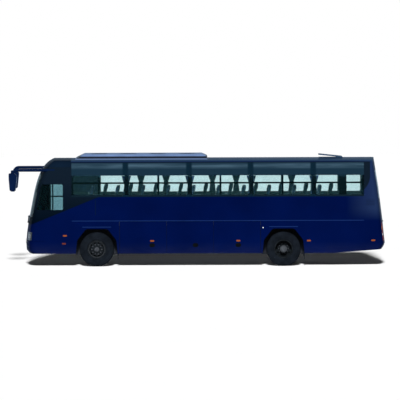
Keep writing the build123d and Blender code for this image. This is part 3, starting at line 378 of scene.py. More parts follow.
@dataclass(frozen=True)
class TintedGlass(Finish):
    """Tinted glass, opaque and dark round the clear part and at the posts, with a painted sky reflection
    along the top.
    """

    clear_low: float = -10.0
    clear_top: float = 10.0
    clear_half: float = 10.0
    frit: Colour = (0.0035, 0.0105, 0.0195)
    frit_low: Colour = (0.0014, 0.0035, 0.0070)
    shine: Colour = (0.35, 0.95, 1.0)
    # Painted sky reflection along the top of the glass: its height, colour and soft edges
    sky_reflection_z: float = 0.0
    sky_reflection: Colour = (0.026, 0.049, 0.071)
    sky_reflection_soft: tuple[float, float] = (0.02, 0.10)
    post: Colour = (0.0009, 0.0050, 0.0110)
    posts: tuple[float, ...] = ()
    post_soft: tuple[float, float] = (0.066, 0.110)

    def build(self) -> Material:
        """Returns: the finished material."""
        graph = Graph(self.name)
        clear = graph.between(graph.z, self.clear_low, self.clear_top)
        middle = graph.math("LESS_THAN", graph.math("ABSOLUTE", graph.y), self.clear_half)
        clear = graph.math("MULTIPLY", clear, middle)
        # Painted sky reflection: a pale band near the top of the glass, broken by noise
        away = graph.math("ABSOLUTE", graph.math("SUBTRACT", graph.z, self.sky_reflection_z))
        sky_reflection = graph.ramp(away, *self.sky_reflection_soft, 1.0, 0.0)
        patchy = graph.ramp(graph.noise(1.4, 3.0, (0.5, 1, 6)), 0.35, 0.65, 0.2, 1.0)
        sky_reflection = graph.math("MULTIPLY", sky_reflection, patchy)
        frit = graph.mix(graph.math("GREATER_THAN", graph.z, self.clear_low), self.frit_low, self.frit)
        frit = graph.mix(sky_reflection, frit, self.sky_reflection)
        for place in self.posts:
            aside = graph.math("ABSOLUTE", graph.math("SUBTRACT", graph.x, place))
            frit = graph.mix(graph.ramp(aside, *self.post_soft, 1.0, 0.0), frit, self.post)
        graph.put("Base Color", graph.mix(clear, frit, self.tone(graph)))
        graph.put("Transmission Weight", clear)
        graph.put("Specular IOR Level", self.specular)
        graph.put("Specular Tint", self.shine)
        graph.put("Roughness", self.rough)
        graph.put("IOR", self.index)
        graph.bump(graph.noise(2.0, 2.0), 0.15, self.depth)
        return graph.material


@dataclass(frozen=True)
class LampLens(Finish):
    """A lamp lens with round bright cups, or bands of colour by height, under fine flutes."""

    cups: tuple[tuple[float, float], ...] = ()
    cup_r: float = 0.09
    bright: Colour = (0.13, 0.135, 0.13)
    rim: Colour = (0.03, 0.03, 0.035)
    rim_width: float = 0.012
    coat: float = 0.3
    bands: tuple[tuple[float, float, Colour], ...] = ()
    flute: float = 0.012
    flute_depth: float = 0.0015

    def build(self) -> Material:
        """Returns: the finished material."""
        graph = self.start()
        colour = self.tone(graph)
        across = graph.math("ABSOLUTE", graph.y)
        for cup_y, cup_z in self.cups:
            aside = graph.math("SUBTRACT", across, cup_y)
            up = graph.math("SUBTRACT", graph.z, cup_z)
            square = graph.math("ADD", graph.math("MULTIPLY", aside, aside), graph.math("MULTIPLY", up, up))
            reach = graph.math("SQRT", square)
            colour = graph.mix(graph.math("LESS_THAN", reach, self.cup_r), colour, self.bright)
            colour = graph.mix(graph.near(reach, self.cup_r, self.rim_width), colour, self.rim)
        for low, high, tint in self.bands:
            colour = graph.mix(graph.between(graph.z, low, high), colour, tint)
        graph.put("Base Color", colour)
        graph.put("Coat Weight", self.coat)
        graph.bump(graph.wave(graph.y, self.flute), 0.5, self.flute_depth)
        return graph.material


@dataclass(frozen=True)
class Weave(Finish):
    """Cloth with a plain weave and a soft sheen."""

    thread: float = 0.004
    thread_depth: float = 0.0008
    sheen: float = 0.08

    def build(self) -> Material:
        """Returns: the finished material."""
        graph = self.start()
        warp = graph.wave(graph.math("ADD", graph.y, graph.x), self.thread)
        weft = graph.wave(graph.z, self.thread)
        pale = graph.ramp(weft, -1, 1, 0.0, 0.25)
        graph.put("Base Color", graph.mix(pale, self.tone(graph), self.shade(0.8)))
        graph.put("Sheen Weight", self.sheen)
        graph.bump(graph.math("MULTIPLY", warp, weft), 0.6, self.thread_depth)
        return graph.material


@dataclass(frozen=True)
class PodPaint(Finish):
    """The roof unit's moulding: a pale foot, a dark shadow strip and the painted cover."""

    foot: Colour = (0.06, 0.09, 0.16)
    strip: Colour = (0.004, 0.006, 0.012)
    foot_z: float = 3.285
    strip_z: float = 3.345

    def build(self) -> Material:
        """Returns: the finished material."""
        graph = self.start()
        colour = graph.mix(graph.math("LESS_THAN", graph.z, self.strip_z), self.tone(graph), self.strip)
        graph.put("Base Color", graph.mix(graph.math("LESS_THAN", graph.z, self.foot_z), colour, self.foot))
        return graph.material


class Finishes:
    """All the finishes of the coach, made once and given to the pieces by name."""

    def __init__(self, datum: Datum) -> None:
        """Builds every material, by recipes in the order of Finish's own fields.

        Args:
            datum: places that some patterns start from.
        """
        recipes = [
            CoachPaint("blue_coach_paint", (0.00015, 0.0022, 0.0245), 0.18, 0.0, 0.06, 900, 0.00015, 0.18,
                       0.7, 1.05, nose=datum.nose),
            Finish("mirror_paint", (0.0012, 0.0050, 0.0210), 0.25, 0.0, 0.2, 900, 0.00015, 0.2, 4.0, 1.1),
            Finish("moulding_paint", (0.0040, 0.0120, 0.0560), 0.25, 0.0, 0.1, 900, 0.00015, 0.1, 4.0, 1.1),
            Finish("black_cap_paint", (0.0021, 0.0060, 0.0140), 0.16, 0.0, 0.06, 900, 0.00015, 0.3, 0.8,
                   1.05),
            PodPaint("roof_unit_paint", (0.080, 0.125, 0.235), 0.35, 0.0, 0.2, 500, 0.0003, 0.2, 2.0),
            Finish("chassis_paint", (0.010, 0.010, 0.012), 0.65, 0.0, 0.3, 120, 0.0006, 0.4, 5.0),
            Finish("axle_iron", (0.035, 0.034, 0.033), 0.6, 0.3, 0.4, 90, 0.0012, 0.5, 9.0),
            Finish("rim_steel", (0.0050, 0.0064, 0.0078), 0.55, 0.0, 0.2, 260, 0.0004, 0.45, 14.0, 1.3),
            Finish("bright_steel", (0.040, 0.044, 0.050), 0.42, 0.3, 0.3, 260, 0.0003, 0.4, 18.0, 1.3),
            Finish("tyre_rubber", (0.0040, 0.0054, 0.0078), 0.75, 0.0, 0.1, 420, 0.0006, 0.35, 7.0, 1.2),
            Finish("seal_rubber", (0.0018, 0.0023, 0.0030), 0.75, 0.0, 0.1, 420, 0.0006, 0.35, 7.0, 1.2),
            Finish("black_plastic", (0.010, 0.011, 0.014), 0.40, 0.0, 0.3, 700, 0.0003, 0.3, 6.0),
            Finish("floor_vinyl", (0.045, 0.046, 0.050), 0.55, 0.0, 0.3, 240, 0.0005, 0.4, 12.0),
            Finish("dark_leather", (0.013, 0.014, 0.018), 0.45, 0.0, 0.35, 350, 0.0006, 0.3, 8.0),
            Finish("pale_plate", (0.55, 0.55, 0.54), 0.40, 0.1, 0.4, 300, 0.0003, 0.08, 20.0),
            Finish("mirror_silver", (0.55, 0.57, 0.60), 0.06, 1.0, 0.5, 20, 0.0001, 0.05, 3.0),
            Finish("amber_lens", (0.145, 0.034, 0.006), 0.25, 0.0, 0.3, 300, 0.0006, 0.2, 30.0),
            Finish("dim_red_lens", (0.070, 0.013, 0.007), 0.25, 0.0, 0.3, 300, 0.0006, 0.2, 30.0),
            TintedGlass("side_glass_tint", (0.680, 0.835, 0.850), 0.02, specular=0.45, depth=0.0006,
                        spread=0.05, index=1.35, clear_low=2.188, clear_top=2.776, sky_reflection_z=3.065,
                        posts=tuple(datum.at(s) for s in PANE_BORDERS)),
            TintedGlass("cab_glass_tint", (0.33, 0.50, 0.54), 0.02, specular=0.25, depth=0.0006,
                        spread=0.05, index=1.2),
            TintedGlass("windscreen_tint", (0.10, 0.155, 0.16), 0.02, specular=0.06, depth=0.0006,
                        spread=0.05, index=1.04, clear_low=1.50, clear_top=2.80, clear_half=1.03,
                        frit=(0.002, 0.004, 0.007)),
            LampLens("headlamp_lens", (0.014, 0.016, 0.017), 0.2, 0.1, 0.3, 300, 0.0002, 0.2, 8.0,
                     cups=((0.83, 0.925), (1.05, 0.925)), cup_r=0.085),
            LampLens("tail_lamp_lens", (0.20, 0.005, 0.005), 0.25, 0.0, 0.2, 300, 0.0002, 0.15, 12.0,
                     1.1, coat=0.0,
                     bands=((1.10, 1.20, (0.42, 0.11, 0.010)), (0.92, 0.99, (0.38, 0.38, 0.39)))),
            Weave("seat_cloth", (0.008, 0.016, 0.034), 0.85, 0.0, 0.2, 600, 0.0004, 0.3, 9.0, thread=0.005),
            Weave("curtain_cloth", (0.009, 0.024, 0.080), 0.85, 0.0, 0.2, 600, 0.0003, 0.25, 9.0,
                  thread=0.003),
        ]
        self.stock = {recipe.name: recipe.build() for recipe in recipes}

    def __getitem__(self, name: str) -> Material:
        """Returns: the material of that name."""
        return self.stock[name]

    def dress_nodes(self) -> None:
        """Gives every CAD node its finish, by the table of names below."""
        table = {
            "blue_coach_paint": ["front_mask", "front_quarter_left", "front_quarter_right",
                                 "side_wall_left", "side_wall_right", "skirt_panels", "roof_panel",
                                 "rear_upper_panel", "rear_lower_panel", "entry_door", "engine_lid",
                                 "roof_hatch"],
            "black_cap_paint": ["front_cap"],
            "roof_unit_paint": ["ac_unit"],
            "chassis_paint": ["front_frame", "rear_frame", "luggage_hold", "wheel_housings"],
            "axle_iron": ["front_axle", "rear_axle", "leaf_springs", "engine_block", "knuckle_left",
                          "knuckle_right", "tie_rod", "entry_door_arm"],
            "rim_steel": ["front_rim_left", "front_rim_right", "rear_rims_left", "rear_rims_right"],
            "black_plastic": ["dashboard", "wipers", "luggage_racks"],
            "mirror_paint": ["mirrors"],
            "floor_vinyl": ["cabin_floor"],
            "side_glass_tint": ["side_glass"],
            "cab_glass_tint": ["driver_window", "rear_window", "entry_door_glass"],
            "windscreen_tint": ["windscreen"],
            "headlamp_lens": ["headlamps"],
            "tail_lamp_lens": ["tail_lamps"],
        }
        doors = [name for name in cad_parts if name.startswith("luggage_door")]
        table["blue_coach_paint"] += doors
        for finish, nodes in table.items():
            for node in nodes:
                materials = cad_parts[node].data.materials
                materials.clear()
                materials.append(self[finish])
                LOG.info("%s: %s", node, finish)


class Stock:
    """Grid surfaces gathered into one mesh."""

    def __init__(self) -> None:
        """Starts with nothing."""
        self.points: list[Array] = []
        self.faces: list[list[int]] = []
        self.count = 0

    def grid(self, points: Array, round_rows: bool = False, round_columns: bool = False,
             caps: bool = False) -> None:
        """Adds a surface given as rows and columns of points.

        Args:
            points: array of rows, columns and three coordinates.
            round_rows: the last row joins the first.
            round_columns: the last column joins the first.
            caps: the first and last rows are closed by a flat face.
        """
        rows, columns = points.shape[:2]
        index = np.arange(rows * columns).reshape(rows, columns) + self.count
        ends = [index[0].tolist(), index[-1].tolist()]
        if round_columns:
            index = np.hstack([index, index[:, :1]])
        if round_rows:
            index = np.vstack([index, index[:1]])
        quads = np.stack([index[:-1, :-1], index[:-1, 1:], index[1:, 1:], index[1:, :-1]], axis=-1)
        self.faces += quads.reshape(-1, 4).tolist()
        if caps:
            self.faces += ends
        self.points.append(points.reshape(-1, 3))
        self.count += rows * columns

    def bar(self, path: Array, profile: Array, up: Triple, loop: bool = False) -> None:
        """Carries a closed profile along a path, square to it, with its second axis nearest to up.

        Args:
            path: points along the bar.
            profile: closed outline as pairs across and along up.
            up: direction that the profile keeps.
            loop: the path closes on itself.
        """
        if loop:
            tangent = np.roll(path, -1, axis=0) - np.roll(path, 1, axis=0)
        else:
            tangent = np.gradient(path, axis=0)
        tangent /= np.linalg.norm(tangent, axis=1, keepdims=True)
        across = np.cross(tangent, np.array(up, float))
        across /= np.linalg.norm(across, axis=1, keepdims=True)
        upward = np.cross(across, tangent)
        points = path[:, None] + profile[None, :, :1] * across[:, None]
        points = points + profile[None, :, 1:] * upward[:, None]
        self.grid(points, round_rows=loop, round_columns=True, caps=not loop)

    def pipe(self, path: Array, radius: float, up: Triple, sides: int = 12,
             loop: bool = False) -> None:
        """Carries a circle along a path."""
        angle = np.linspace(0, TURN, sides, endpoint=False)
        self.bar(path, radius * np.stack([np.cos(angle), np.sin(angle)], axis=1), up, loop)

    def turned(self, profile: Array, centre: Array, steps: int, loop: bool = False) -> None:
        """Turns a profile about the Y line through a point.

        Args:
            profile: pairs of radius and offset along Y.
            centre: the point.
            steps: steps in a turn.
            loop: the profile closes on itself.
        """
        angle = np.linspace(0, TURN, steps, endpoint=False)
        x = profile[:, :1] * np.cos(angle)
        z = profile[:, :1] * np.sin(angle)
        y = np.broadcast_to(profile[:, 1:2], x.shape)
        self.grid(np.stack([x, y, z], axis=-1) + centre, round_rows=loop, round_columns=True)

    def pebble(self, centre: Triple, half: Triple, square: float, rows: int, columns: int,
               lean: float = 0.0) -> None:
        """Adds a superellipsoid, as pebble_points gives it.

        Args:
            centre: middle of the body.
            half: half sizes along X, Y and Z.
            square: power, from 1 for an ellipsoid towards 0 for a box.
            rows: rows from pole to pole.
            columns: points round each row.
            lean: run along X for each metre of height.
        """
        points = pebble_points(half, square, rows, columns)
        points[..., 0] += lean * points[..., 2]
        self.grid(points + np.array(centre), round_columns=True)

    def piece(self, name: str, body: str, slot: str, material: Material,
              smooth: float = 40.0) -> bpy.types.Object:
        """Makes the object, merges its doubles and turns its faces outwards.

        Args:
            name: the piece's name.
            body: the body that it rides on.
            slot: not used.
            material: its finish.
            smooth: edges sharper than this many degrees stay sharp.
        Returns: the new object.
        """
        mesh = bpy.data.meshes.new(name)
        mesh.from_pydata(np.concatenate(self.points), [], self.faces)
        work = bmesh.new()
        work.from_mesh(mesh)
        bmesh.ops.remove_doubles(work, verts=work.verts, dist=1e-6)
        bmesh.ops.recalc_face_normals(work, faces=work.faces)
        work.to_mesh(mesh)
        work.free()
        mesh.polygons.foreach_set("use_smooth", np.ones(len(mesh.polygons), dtype=bool))
        mesh.set_sharp_from_angle(angle=math.radians(smooth))
        mesh.materials.append(material)
        piece = bpy.data.objects.new(name, mesh)
        bpy.context.scene.collection.objects.link(piece)
        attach(piece, body)
        LOG.info("%s on %s: %d faces", name, body, len(mesh.polygons))
        return piece


def power(values: Array, exponent: float) -> Array:
    """Returns: the values raised to an exponent with their signs kept."""
    return np.sign(values) * np.abs(values) ** exponent


def pebble_points(half: Triple, square: float, rows: int, columns: int) -> Array:
    """A superellipsoid about the origin: powers of the sine and cosine of latitude and longitude.

    Args:
        half: half sizes along X, Y and Z.
        square: power, from 1 for an ellipsoid towards 0 for a box.
        rows: rows from pole to pole.
        columns: points round each row.
    Returns: rows and columns of points.
    """
    latitude = np.linspace(-math.pi / 2, math.pi / 2, rows)[:, None]
    longitude = np.linspace(0, TURN, columns, endpoint=False)[None]
    ring = power(np.cos(latitude), square)
    x = half[0] * ring * power(np.cos(longitude), square)
    y = half[1] * ring * power(np.sin(longitude), square)
    z = half[2] * power(np.sin(latitude), square) * np.ones_like(longitude)
    return np.stack([x, y, z], axis=-1)


@dataclass
class Assembly:
    """A sub-assembly: the datum that it measures from and the finishes that it is dressed in."""

    datum: Datum
    finishes: Finishes

    def fit(self, stock: Stock, name: str, slot: str, finish: str = "", body: str = "coach",
            smooth: float = 40.0) -> bpy.types.Object:
        """Makes one piece of the surfaces gathered for it.

        Args:
            stock: the surfaces.
            name: the piece's name.
            slot: the finish's name when no finish is given.
            finish: its finish, or nothing for the one named like the slot.
            body: the body that it rides on.
            smooth: edges sharper than this many degrees stay sharp.
        Returns: the new object.
        """
        return stock.piece(name, body, slot, self.finishes[finish or slot], smooth)


@dataclass
class Wheels(Assembly):
    """Tyres with tread, wheel nuts and hub caps on the four hubs, and the rear brakes' dust shields."""

    twin_spacing: float = 0.33
    steps: int = 160
    blocks: int = 40
    groove_depth: float = 0.013
    groove_half: float = 0.006
    grooves: tuple[float, ...] = (0.066, 0.022, -0.022, -0.066)
    wall: tuple[tuple[float, float], ...] = (
        (0.2862, 0.105), (0.296, 0.116), (0.310, 0.119), (0.318, 0.124), (0.322, 0.122), (0.352, 0.134),
        (0.390, 0.142), (0.416, 0.145), (0.446, 0.1425), (0.470, 0.136), (0.474, 0.139), (0.486, 0.135),
        (0.500, 0.126), (0.512, 0.116), (0.5195, 0.106),
    )
    shoulder: tuple[float, float] = (0.495, 0.09)
    notch_depth: float = 0.009
    nuts: int = 10
    nut_ring: float = 0.145
    nut: tuple[tuple[float, float], ...] = (
        (0.0, 0.030), (0.011, 0.030), (0.013, 0.024), (0.018, 0.022), (0.018, 0.002), (0.026, 0.0),
        (0.026, -0.006),
    )
    # Shares of the cap's radius and rise
    dome: tuple[tuple[float, float], ...] = (
        (0.0, 1.0), (0.45, 0.97), (0.72, 0.86), (0.80, 0.60), (0.82, 0.25), (1.0, 0.2),
    )
    sunk: float = 0.004
    # Seats of the nuts, as offsets from the middle of the outer tyre
    front_seat: float = 0.101
    rear_seat: float = -0.132
    # Radius, offset and rise of the caps; radius, offset and section of the ring
    front_cap: Triple = (0.070, 0.122, 0.040)
    rear_cap: Triple = (0.106, 0.090, 0.030)
    front_ring: Triple = (0.245, 0.088, 0.008)
    shield: tuple[float, float] = (0.090, 0.262)
    shield_y: float = 0.580
    shield_thick: float = 0.006

    def tread(self) -> Array:
        """Returns: one tyre's profile as radius and offset, from one bead over the tread to the other."""
        wall = np.array(self.wall)
        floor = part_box("front_tyre_left")
        top = (floor[1][2] - floor[0][2]) / 2
        low, half = top - self.groove_depth, self.groove_half
        edges = ((top, half), (low, 0.7 * half), (low, -0.7 * half), (top, -half))
        run = [(radius, groove + aside) for groove in self.grooves for radius, aside in edges]
        return np.vstack([wall, run, wall[::-1] * (1, -1)])

    def tyre(self, stock: Stock, centre: Array) -> None:
        """Adds a tyre: the profile turned about the axle, its shoulders notched block by block.

        Args:
            stock: mesh that takes the tyre.
            centre: middle of the tyre.
        """
        profile = self.tread()
        angle = np.linspace(0, TURN, self.steps, endpoint=False)
        shoulder = (profile[:, 0] > self.shoulder[0]) & (np.abs(profile[:, 1]) > self.shoulder[1])
        notch = (np.arange(self.steps) % (self.steps // self.blocks) == 0).astype(float)
        radius = profile[:, :1] - self.notch_depth * shoulder[:, None] * notch[None]
        x, z = radius * np.cos(angle), radius * np.sin(angle)
        y = np.broadcast_to(profile[:, 1:], x.shape)
        stock.grid(np.stack([x, y, z], axis=-1) + centre, round_rows=True, round_columns=True)

    def nut_circle(self, stock: Stock, centre: Array, outward: int, base: float) -> None:
        """Adds the wheel nuts: six-sided turned profiles on a circle about the axle.

        Args:
            stock: mesh that takes the nuts.
            centre: middle of the wheel.
            outward: sign of Y away from the coach.
            base: offset of the nuts' seat.
        """
        profile = np.array(self.nut)
        profile[:, 1] = outward * (profile[:, 1] + base)
        for angle in np.linspace(0, TURN, self.nuts, endpoint=False):
            spot = centre + self.nut_ring * np.array([math.cos(angle), 0, math.sin(angle)])
            stock.turned(profile, spot, 6)

    def cap(self, stock: Stock, centre: Array, outward: int, size: Triple) -> None:
        """Adds a hub cap: a flange, a rounded wall and a shallow dome.

        Args:
            stock: mesh that takes the cap.
            centre: middle of the wheel.
            outward: sign of Y away from the coach.
            size: the cap's radius, the offset of its seat and its rise.
        """
        radius, base, rise = size
        profile = np.vstack([np.array(self.dome) * (1, rise), (1.0, -self.sunk)]) * (radius, outward)
        profile[:, 1] += outward * base
        stock.turned(profile, centre, 32)

    def ring(self, stock: Stock, centre: Array, outward: int, size: Triple) -> None:
        """Adds a bright ring: a small circle turned about the axle.

        Args:
            stock: mesh that takes the ring.
            centre: middle of the wheel.
            outward: sign of Y away from the coach.
            size: the ring's radius, its offset and the radius of its section.
        """
        radius, base, thick = size
        angle = np.linspace(0, TURN, 8, endpoint=False)
        aside = outward * (base + thick * np.sin(angle))
        stock.turned(np.stack([radius + thick * np.cos(angle), aside], axis=1), centre, 72, True)

    def add_shields(self) -> None:
        """Adds the rear brakes' dust shields: flat rings turned about the axle, inboard of the twins."""
        stock = Stock()
        inner, outer = self.shield
        for side in Side:
            near, far = side.value * self.shield_y, side.value * (self.shield_y + self.shield_thick)
            profile = np.array([(inner, near), (outer, near), (outer, far), (inner, far), (inner, near)])
            stock.turned(profile, np.array([self.datum.rear_axle, 0.0, self.datum.hub_z]), 48)
        self.fit(stock, "brake_shields", "chassis_paint")

    def mount(self, side: Side, names: tuple[str, str, str, str], hubs: list[Array], steel: Stock) -> None:
        """Mounts the tyres and the bright parts of one hub.

        Args:
            side: side of the coach.
            names: the body, the treads, the node they stand for and the bright parts, without the side.
            hubs: middles of the tyres.
            steel: mesh of the bright parts.
        """
        body, tread, node, bright = (f"{name}_{side.word}" for name in names)
        rubber = Stock()
        for hub in hubs:
            self.tyre(rubber, hub)
        tyre = self.fit(rubber, tread, "tyre_rubber", body=body, smooth=50)
        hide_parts(node)
        self.fit(steel, bright, "rim_steel", "bright_steel", body)

    def build(self) -> None:
        """Builds the rear brakes' shields and both axles' wheels."""
        self.add_shields()
        for side in Side:
            out, y, z = side.value, side.value * self.datum.wheel_y, self.datum.hub_z
            hub = np.array([self.datum.front_axle, y, z])
            steel = Stock()
            self.nut_circle(steel, hub, out, self.front_seat)
            self.cap(steel, hub, out, self.front_cap)
            self.ring(steel, hub, out, self.front_ring)
            self.mount(side, ("front_wheel", "front_tread", "front_tyre", "front_hub"), [hub], steel)
            hub = np.array([self.datum.rear_axle, y, z])
            twin = hub - (0, out * self.twin_spacing, 0)
            steel = Stock()
            self.nut_circle(steel, hub, out, self.rear_seat)
            self.cap(steel, hub, out, self.rear_cap)
            self.mount(side, ("rear_wheels", "rear_treads", "rear_tyres", "rear_hubs"), [hub, twin], steel)


@dataclass
class Seats(Assembly):
    """Padded passenger seats in pairs, half a pitch further back on the right, a bench and the driver's."""

    rows: int = 11
    first: float = 1.480
    pitch: float = 0.770
    floor_z: float = 1.290
    cab_floor_z: float = 0.950
    wall_y: float = 1.145
    aisle_y: float = 0.290
    seat_gap: float = 0.004
    bench_half: float = 1.115
    bench_seats: int = 5
    lean: float = 0.215
    channels: int = 4
    seam_depth: float = 0.008
    square: float = 0.42
    crown: float = 0.03
    # The back narrows above this share of its half height
    neck: float = 0.45
    narrowing: float = 0.22
    # Half length, half height, and the middle's place behind the front edge and over the floor
    cushion: tuple[float, ...] = (0.205, 0.054, 0.21, 0.412)
    back: tuple[float, ...] = (0.066, 0.372, 0.515, 0.795)
    leg: tuple[tuple[float, float], ...] = ((0.14, 0.012), (0.15, 0.18), (0.17, 0.34))
    leg_r: float = 0.016
    rail: tuple[float, ...] = (0.23, 0.342, 0.1, 0.012)
    feet_half: float = 0.2
    bench_feet: tuple[float, ...] = (-0.7, 0.7)
    # Place behind the nose, Y, scale of the lengths, half width and half the way between the feet
    driver: tuple[float, ...] = (0.900, -0.640, 0.85, 0.236, 0.16)

    def seams(self, points: Array, half_width: float) -> Array:
        """Returns: how near points lie to a sewn seam, by the cosine of their place across the seat."""
        return 0.5 + 0.5 * np.cos(TURN * self.channels * points[..., 1] / (2 * half_width))

    def pad(self, stock: Stock, spot: Triple, half_width: float, depth: float = 1.0) -> None:
        """Adds a cushion and a back as crowned superellipsoids with sewn channels pulled in along them.

        Args:
            stock: mesh that takes the seat.
            spot: front edge of the cushion, middle of the seat and floor under it.
            half_width: half the seat's width.
            depth: scale of the lengths along X.
        """
        x, y, z = spot
        length, height, behind, over = self.cushion
        cushion = pebble_points((length * depth, half_width, height), self.square, 13, 36)
        cushion[..., 2] -= self.seam_depth * self.seams(cushion, half_width) * (cushion[..., 2] > 0)
        cushion[..., 0] *= 1 - self.crown * (cushion[..., 2] / height) ** 2
        stock.grid(cushion + (x + behind * depth, y, z + over), round_columns=True)
        length, height, behind, over = self.back
        back = pebble_points((length * depth, half_width, height), self.square, 19, 36)
        tall = back[..., 2] / height
        front = (back[..., 0] < 0) * (tall < self.neck)
        back[..., 0] += self.seam_depth * self.seams(back, half_width) * front
        back[..., 1] *= 1 - self.narrowing * np.clip((tall - self.neck) / 0.3, 0, 1) ** 2
        # A sewn waist under the head end
        back[..., 0] *= 1 - 0.25 * np.exp(-((tall - 0.5) / 0.06) ** 2)
        back[..., 0] += self.lean * depth * back[..., 2]
        stock.grid(back + (x + behind * depth, y, z + over), round_columns=True)

    def legs(self, stock: Stock, x: float, feet: tuple[float, float], z: float, depth: float = 1.0) -> None:
        """Adds a pedestal: two bent pipes at each foot and a rail along their tops.

        Args:
            stock: mesh that takes the pedestal.
            x: front edge of the cushion.
            feet: Y of the two feet, the lower first.
            z: floor under the seat.
            depth: scale of the lengths along X.
        """
        leg = np.array(self.leg)
        behind, over, half, thick = self.rail
        middle, top = x + behind * depth, z + over
        for y in feet:
            path = np.stack([x + depth * leg[:, 0], np.full(3, y), z + leg[:, 1]], axis=1)
            stock.pipe(path, self.leg_r, (0, 1, 0), 10)
            path[:, 0] = 2 * middle - path[:, 0]
            stock.pipe(path, self.leg_r, (0, 1, 0), 10)
        path = np.array([(middle, feet[0] - 0.02, top), (middle, feet[1] + 0.02, top)])
        flat = np.array([(-half, -thick), (half, -thick), (half, thick), (-half, thick)])
        stock.bar(path, flat * (depth, 1), (0, 0, 1))

    def upholster(self, pads: Stock, frames: Stock, names: tuple[str, str, str], finish: str) -> None:
        """Makes the pieces of a group of seats.

        Args:
            pads: mesh of the cushions and backs.
            frames: mesh of the pedestals.
            names: the cushions' piece, the node it stands for and the pedestals' piece.
            finish: the cushions' finish.
        """
        cushions, node, pedestals = names
        seats = self.fit(pads, cushions, "seat_cloth", finish, smooth=60)
        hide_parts(node)
        self.fit(frames, pedestals, "black_plastic")

    def build(self) -> None:
        """Builds the passengers' seats, then the driver's."""
        pads, frames = Stock(), Stock()
        middle = (self.wall_y + self.aisle_y) / 2
        half_width = (self.wall_y - self.aisle_y) / 4 - self.seat_gap
        for side, rows, first in ((Side.LEFT, self.rows, self.first),
                                  (Side.RIGHT, self.rows - 1, self.first + self.pitch / 2)):
            feet = sorted(side.value * (middle + step * self.feet_half) for step in (-1, 1))
            for row in range(rows):
                x = self.datum.at(first + row * self.pitch)
                for step in (-1, 1):
                    y = side.value * (middle + step * (half_width + self.seat_gap))
                    self.pad(pads, (x, y, self.floor_z), half_width)
                self.legs(frames, x, feet, self.floor_z)
        x = self.datum.at(self.first + self.rows * self.pitch)
        place = self.bench_half / self.bench_seats
        for y in np.linspace(place - self.bench_half, self.bench_half - place, self.bench_seats):
            self.pad(pads, (x, y, self.floor_z), place - self.seat_gap)
        for y in self.bench_feet:
            self.legs(frames, x, (y - self.feet_half, y + self.feet_half), self.floor_z)
        names = ("passenger_cushions", "passenger_seats", "seat_pedestals")
        self.upholster(pads, frames, names, "seat_cloth")
        pads, frames = Stock(), Stock()
        s, y, depth, half_width, feet = self.driver
        x = self.datum.at(s)
        self.pad(pads, (x, y, self.cab_floor_z), half_width, depth)
        self.legs(frames, x, (y - feet, y + feet), self.cab_floor_z, depth)
        self.upholster(pads, frames, ("driver_cushion", "driver_seat", "driver_pedestal"), "dark_leather")


@dataclass
class Curtains(Assembly):
    """Pleated curtains tied back: at the window posts on the left, drawn along their rails on the right."""

    left: tuple[float, ...] = (3.089, 5.027, 6.902, 8.813)
    right: tuple[float, ...] = (3.515, 4.290, 5.720, 6.452, 8.163)
    drawn: float = 1.826
    top_z: float = 2.765
    tie_z: float = 2.480
    low_z: float = 2.185
    tied: Triple = (0.105, 0.068, 0.145)
    open_out: Triple = (0.405, 0.405, 0.405)
    rail_y: float = 1.171
    fullness: float = 1.52
    pleat: float = 0.041
    down: int = 26
    # Points across a pleat, and how far the tie draws in the cloth and over what height
    fine: int = 12
    pull: tuple[float, float] = (0.010, 0.14)
    tie_half: float = 0.0225
    tape: tuple[tuple[float, float], ...] = ((0.002, -0.02), (0.002, 0.02), (0, 0.02), (0, -0.02))

    def cloth(self, post: float, side: Side, halves: Triple) -> Array:
        """A sheet of even sine pleats, drawn in to the tie, where deeper folds keep the cloth's width.

        Args:
            post: distance of the curtain behind the nose.
            side: side of the coach.
            halves: half widths at the hem, at the tie and at the rail.
        Returns: rows and columns of points.
        """
        z = np.linspace(self.top_z, self.low_z, self.down)
        half = np.interp(z, (self.low_z, self.tie_z, self.top_z), halves)
        pull = np.clip(1 - np.abs(z - self.tie_z) / self.pull[1], 0, 1)
        half -= self.pull[0] * pull**2
        pleats = round(2 * halves[2] / self.pleat)
        across = self.fine * pleats + 1
        phase = np.linspace(0, TURN * pleats, across)
        wave = np.linspace(0, TURN, 200)
        slopes = np.linspace(0, 12, 240)
        stretch = np.array([np.mean(np.sqrt(1 + (slope * np.cos(wave)) ** 2)) for slope in slopes])
        slope = np.interp(self.fullness * halves[2] / half, stretch, slopes)
        depth = slope * 2 * half / (TURN * pleats)
        x = self.datum.at(post) + half[:, None] * np.linspace(-1, 1, across)[None]
        y = side.value * (self.rail_y + depth[:, None] * np.sin(phase)[None])
        return np.stack([x, y, np.broadcast_to(z[:, None], x.shape)], axis=-1)

    def hang(self, name: str, post: float, side: Side, halves: Triple) -> bpy.types.Object:
        """Hangs one curtain.

        Args:
            name: the piece's name.
            post: distance of the curtain behind the nose.
            side: side of the coach.
            halves: half widths at the hem, at the tie and at the rail.
        Returns: the curtain.
        """
        stock = Stock()
        stock.grid(self.cloth(post, side, halves))
        curtain = self.fit(stock, name, "curtain_cloth", smooth=80)
        return curtain

    def build(self) -> None:
        """Builds one curtain with its tie band at each place, and the drawn one behind the doorway."""
        bands = Stock()
        angle = np.linspace(0, TURN, 28, endpoint=False)
        for side, posts in ((Side.LEFT, self.left), (Side.RIGHT, self.right)):
            for number, post in enumerate(posts, 1):
                self.hang(f"curtain_{side.word}_{number}", post, side, self.tied)
                x = self.datum.at(post) + (self.tied[1] - 0.002) * power(np.cos(angle), 0.5)
                y = side.value * self.rail_y + self.tie_half * power(np.sin(angle), 0.5)
                loop = np.stack([x, y, np.full(28, self.tie_z)], axis=1)
                bands.bar(loop, np.array(self.tape), (0, 0, 1), True)
        self.hang("curtain_right_drawn", self.drawn, Side.RIGHT, self.open_out)
        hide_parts("curtains")
        self.fit(bands, "curtain_ties", "curtain_cloth")


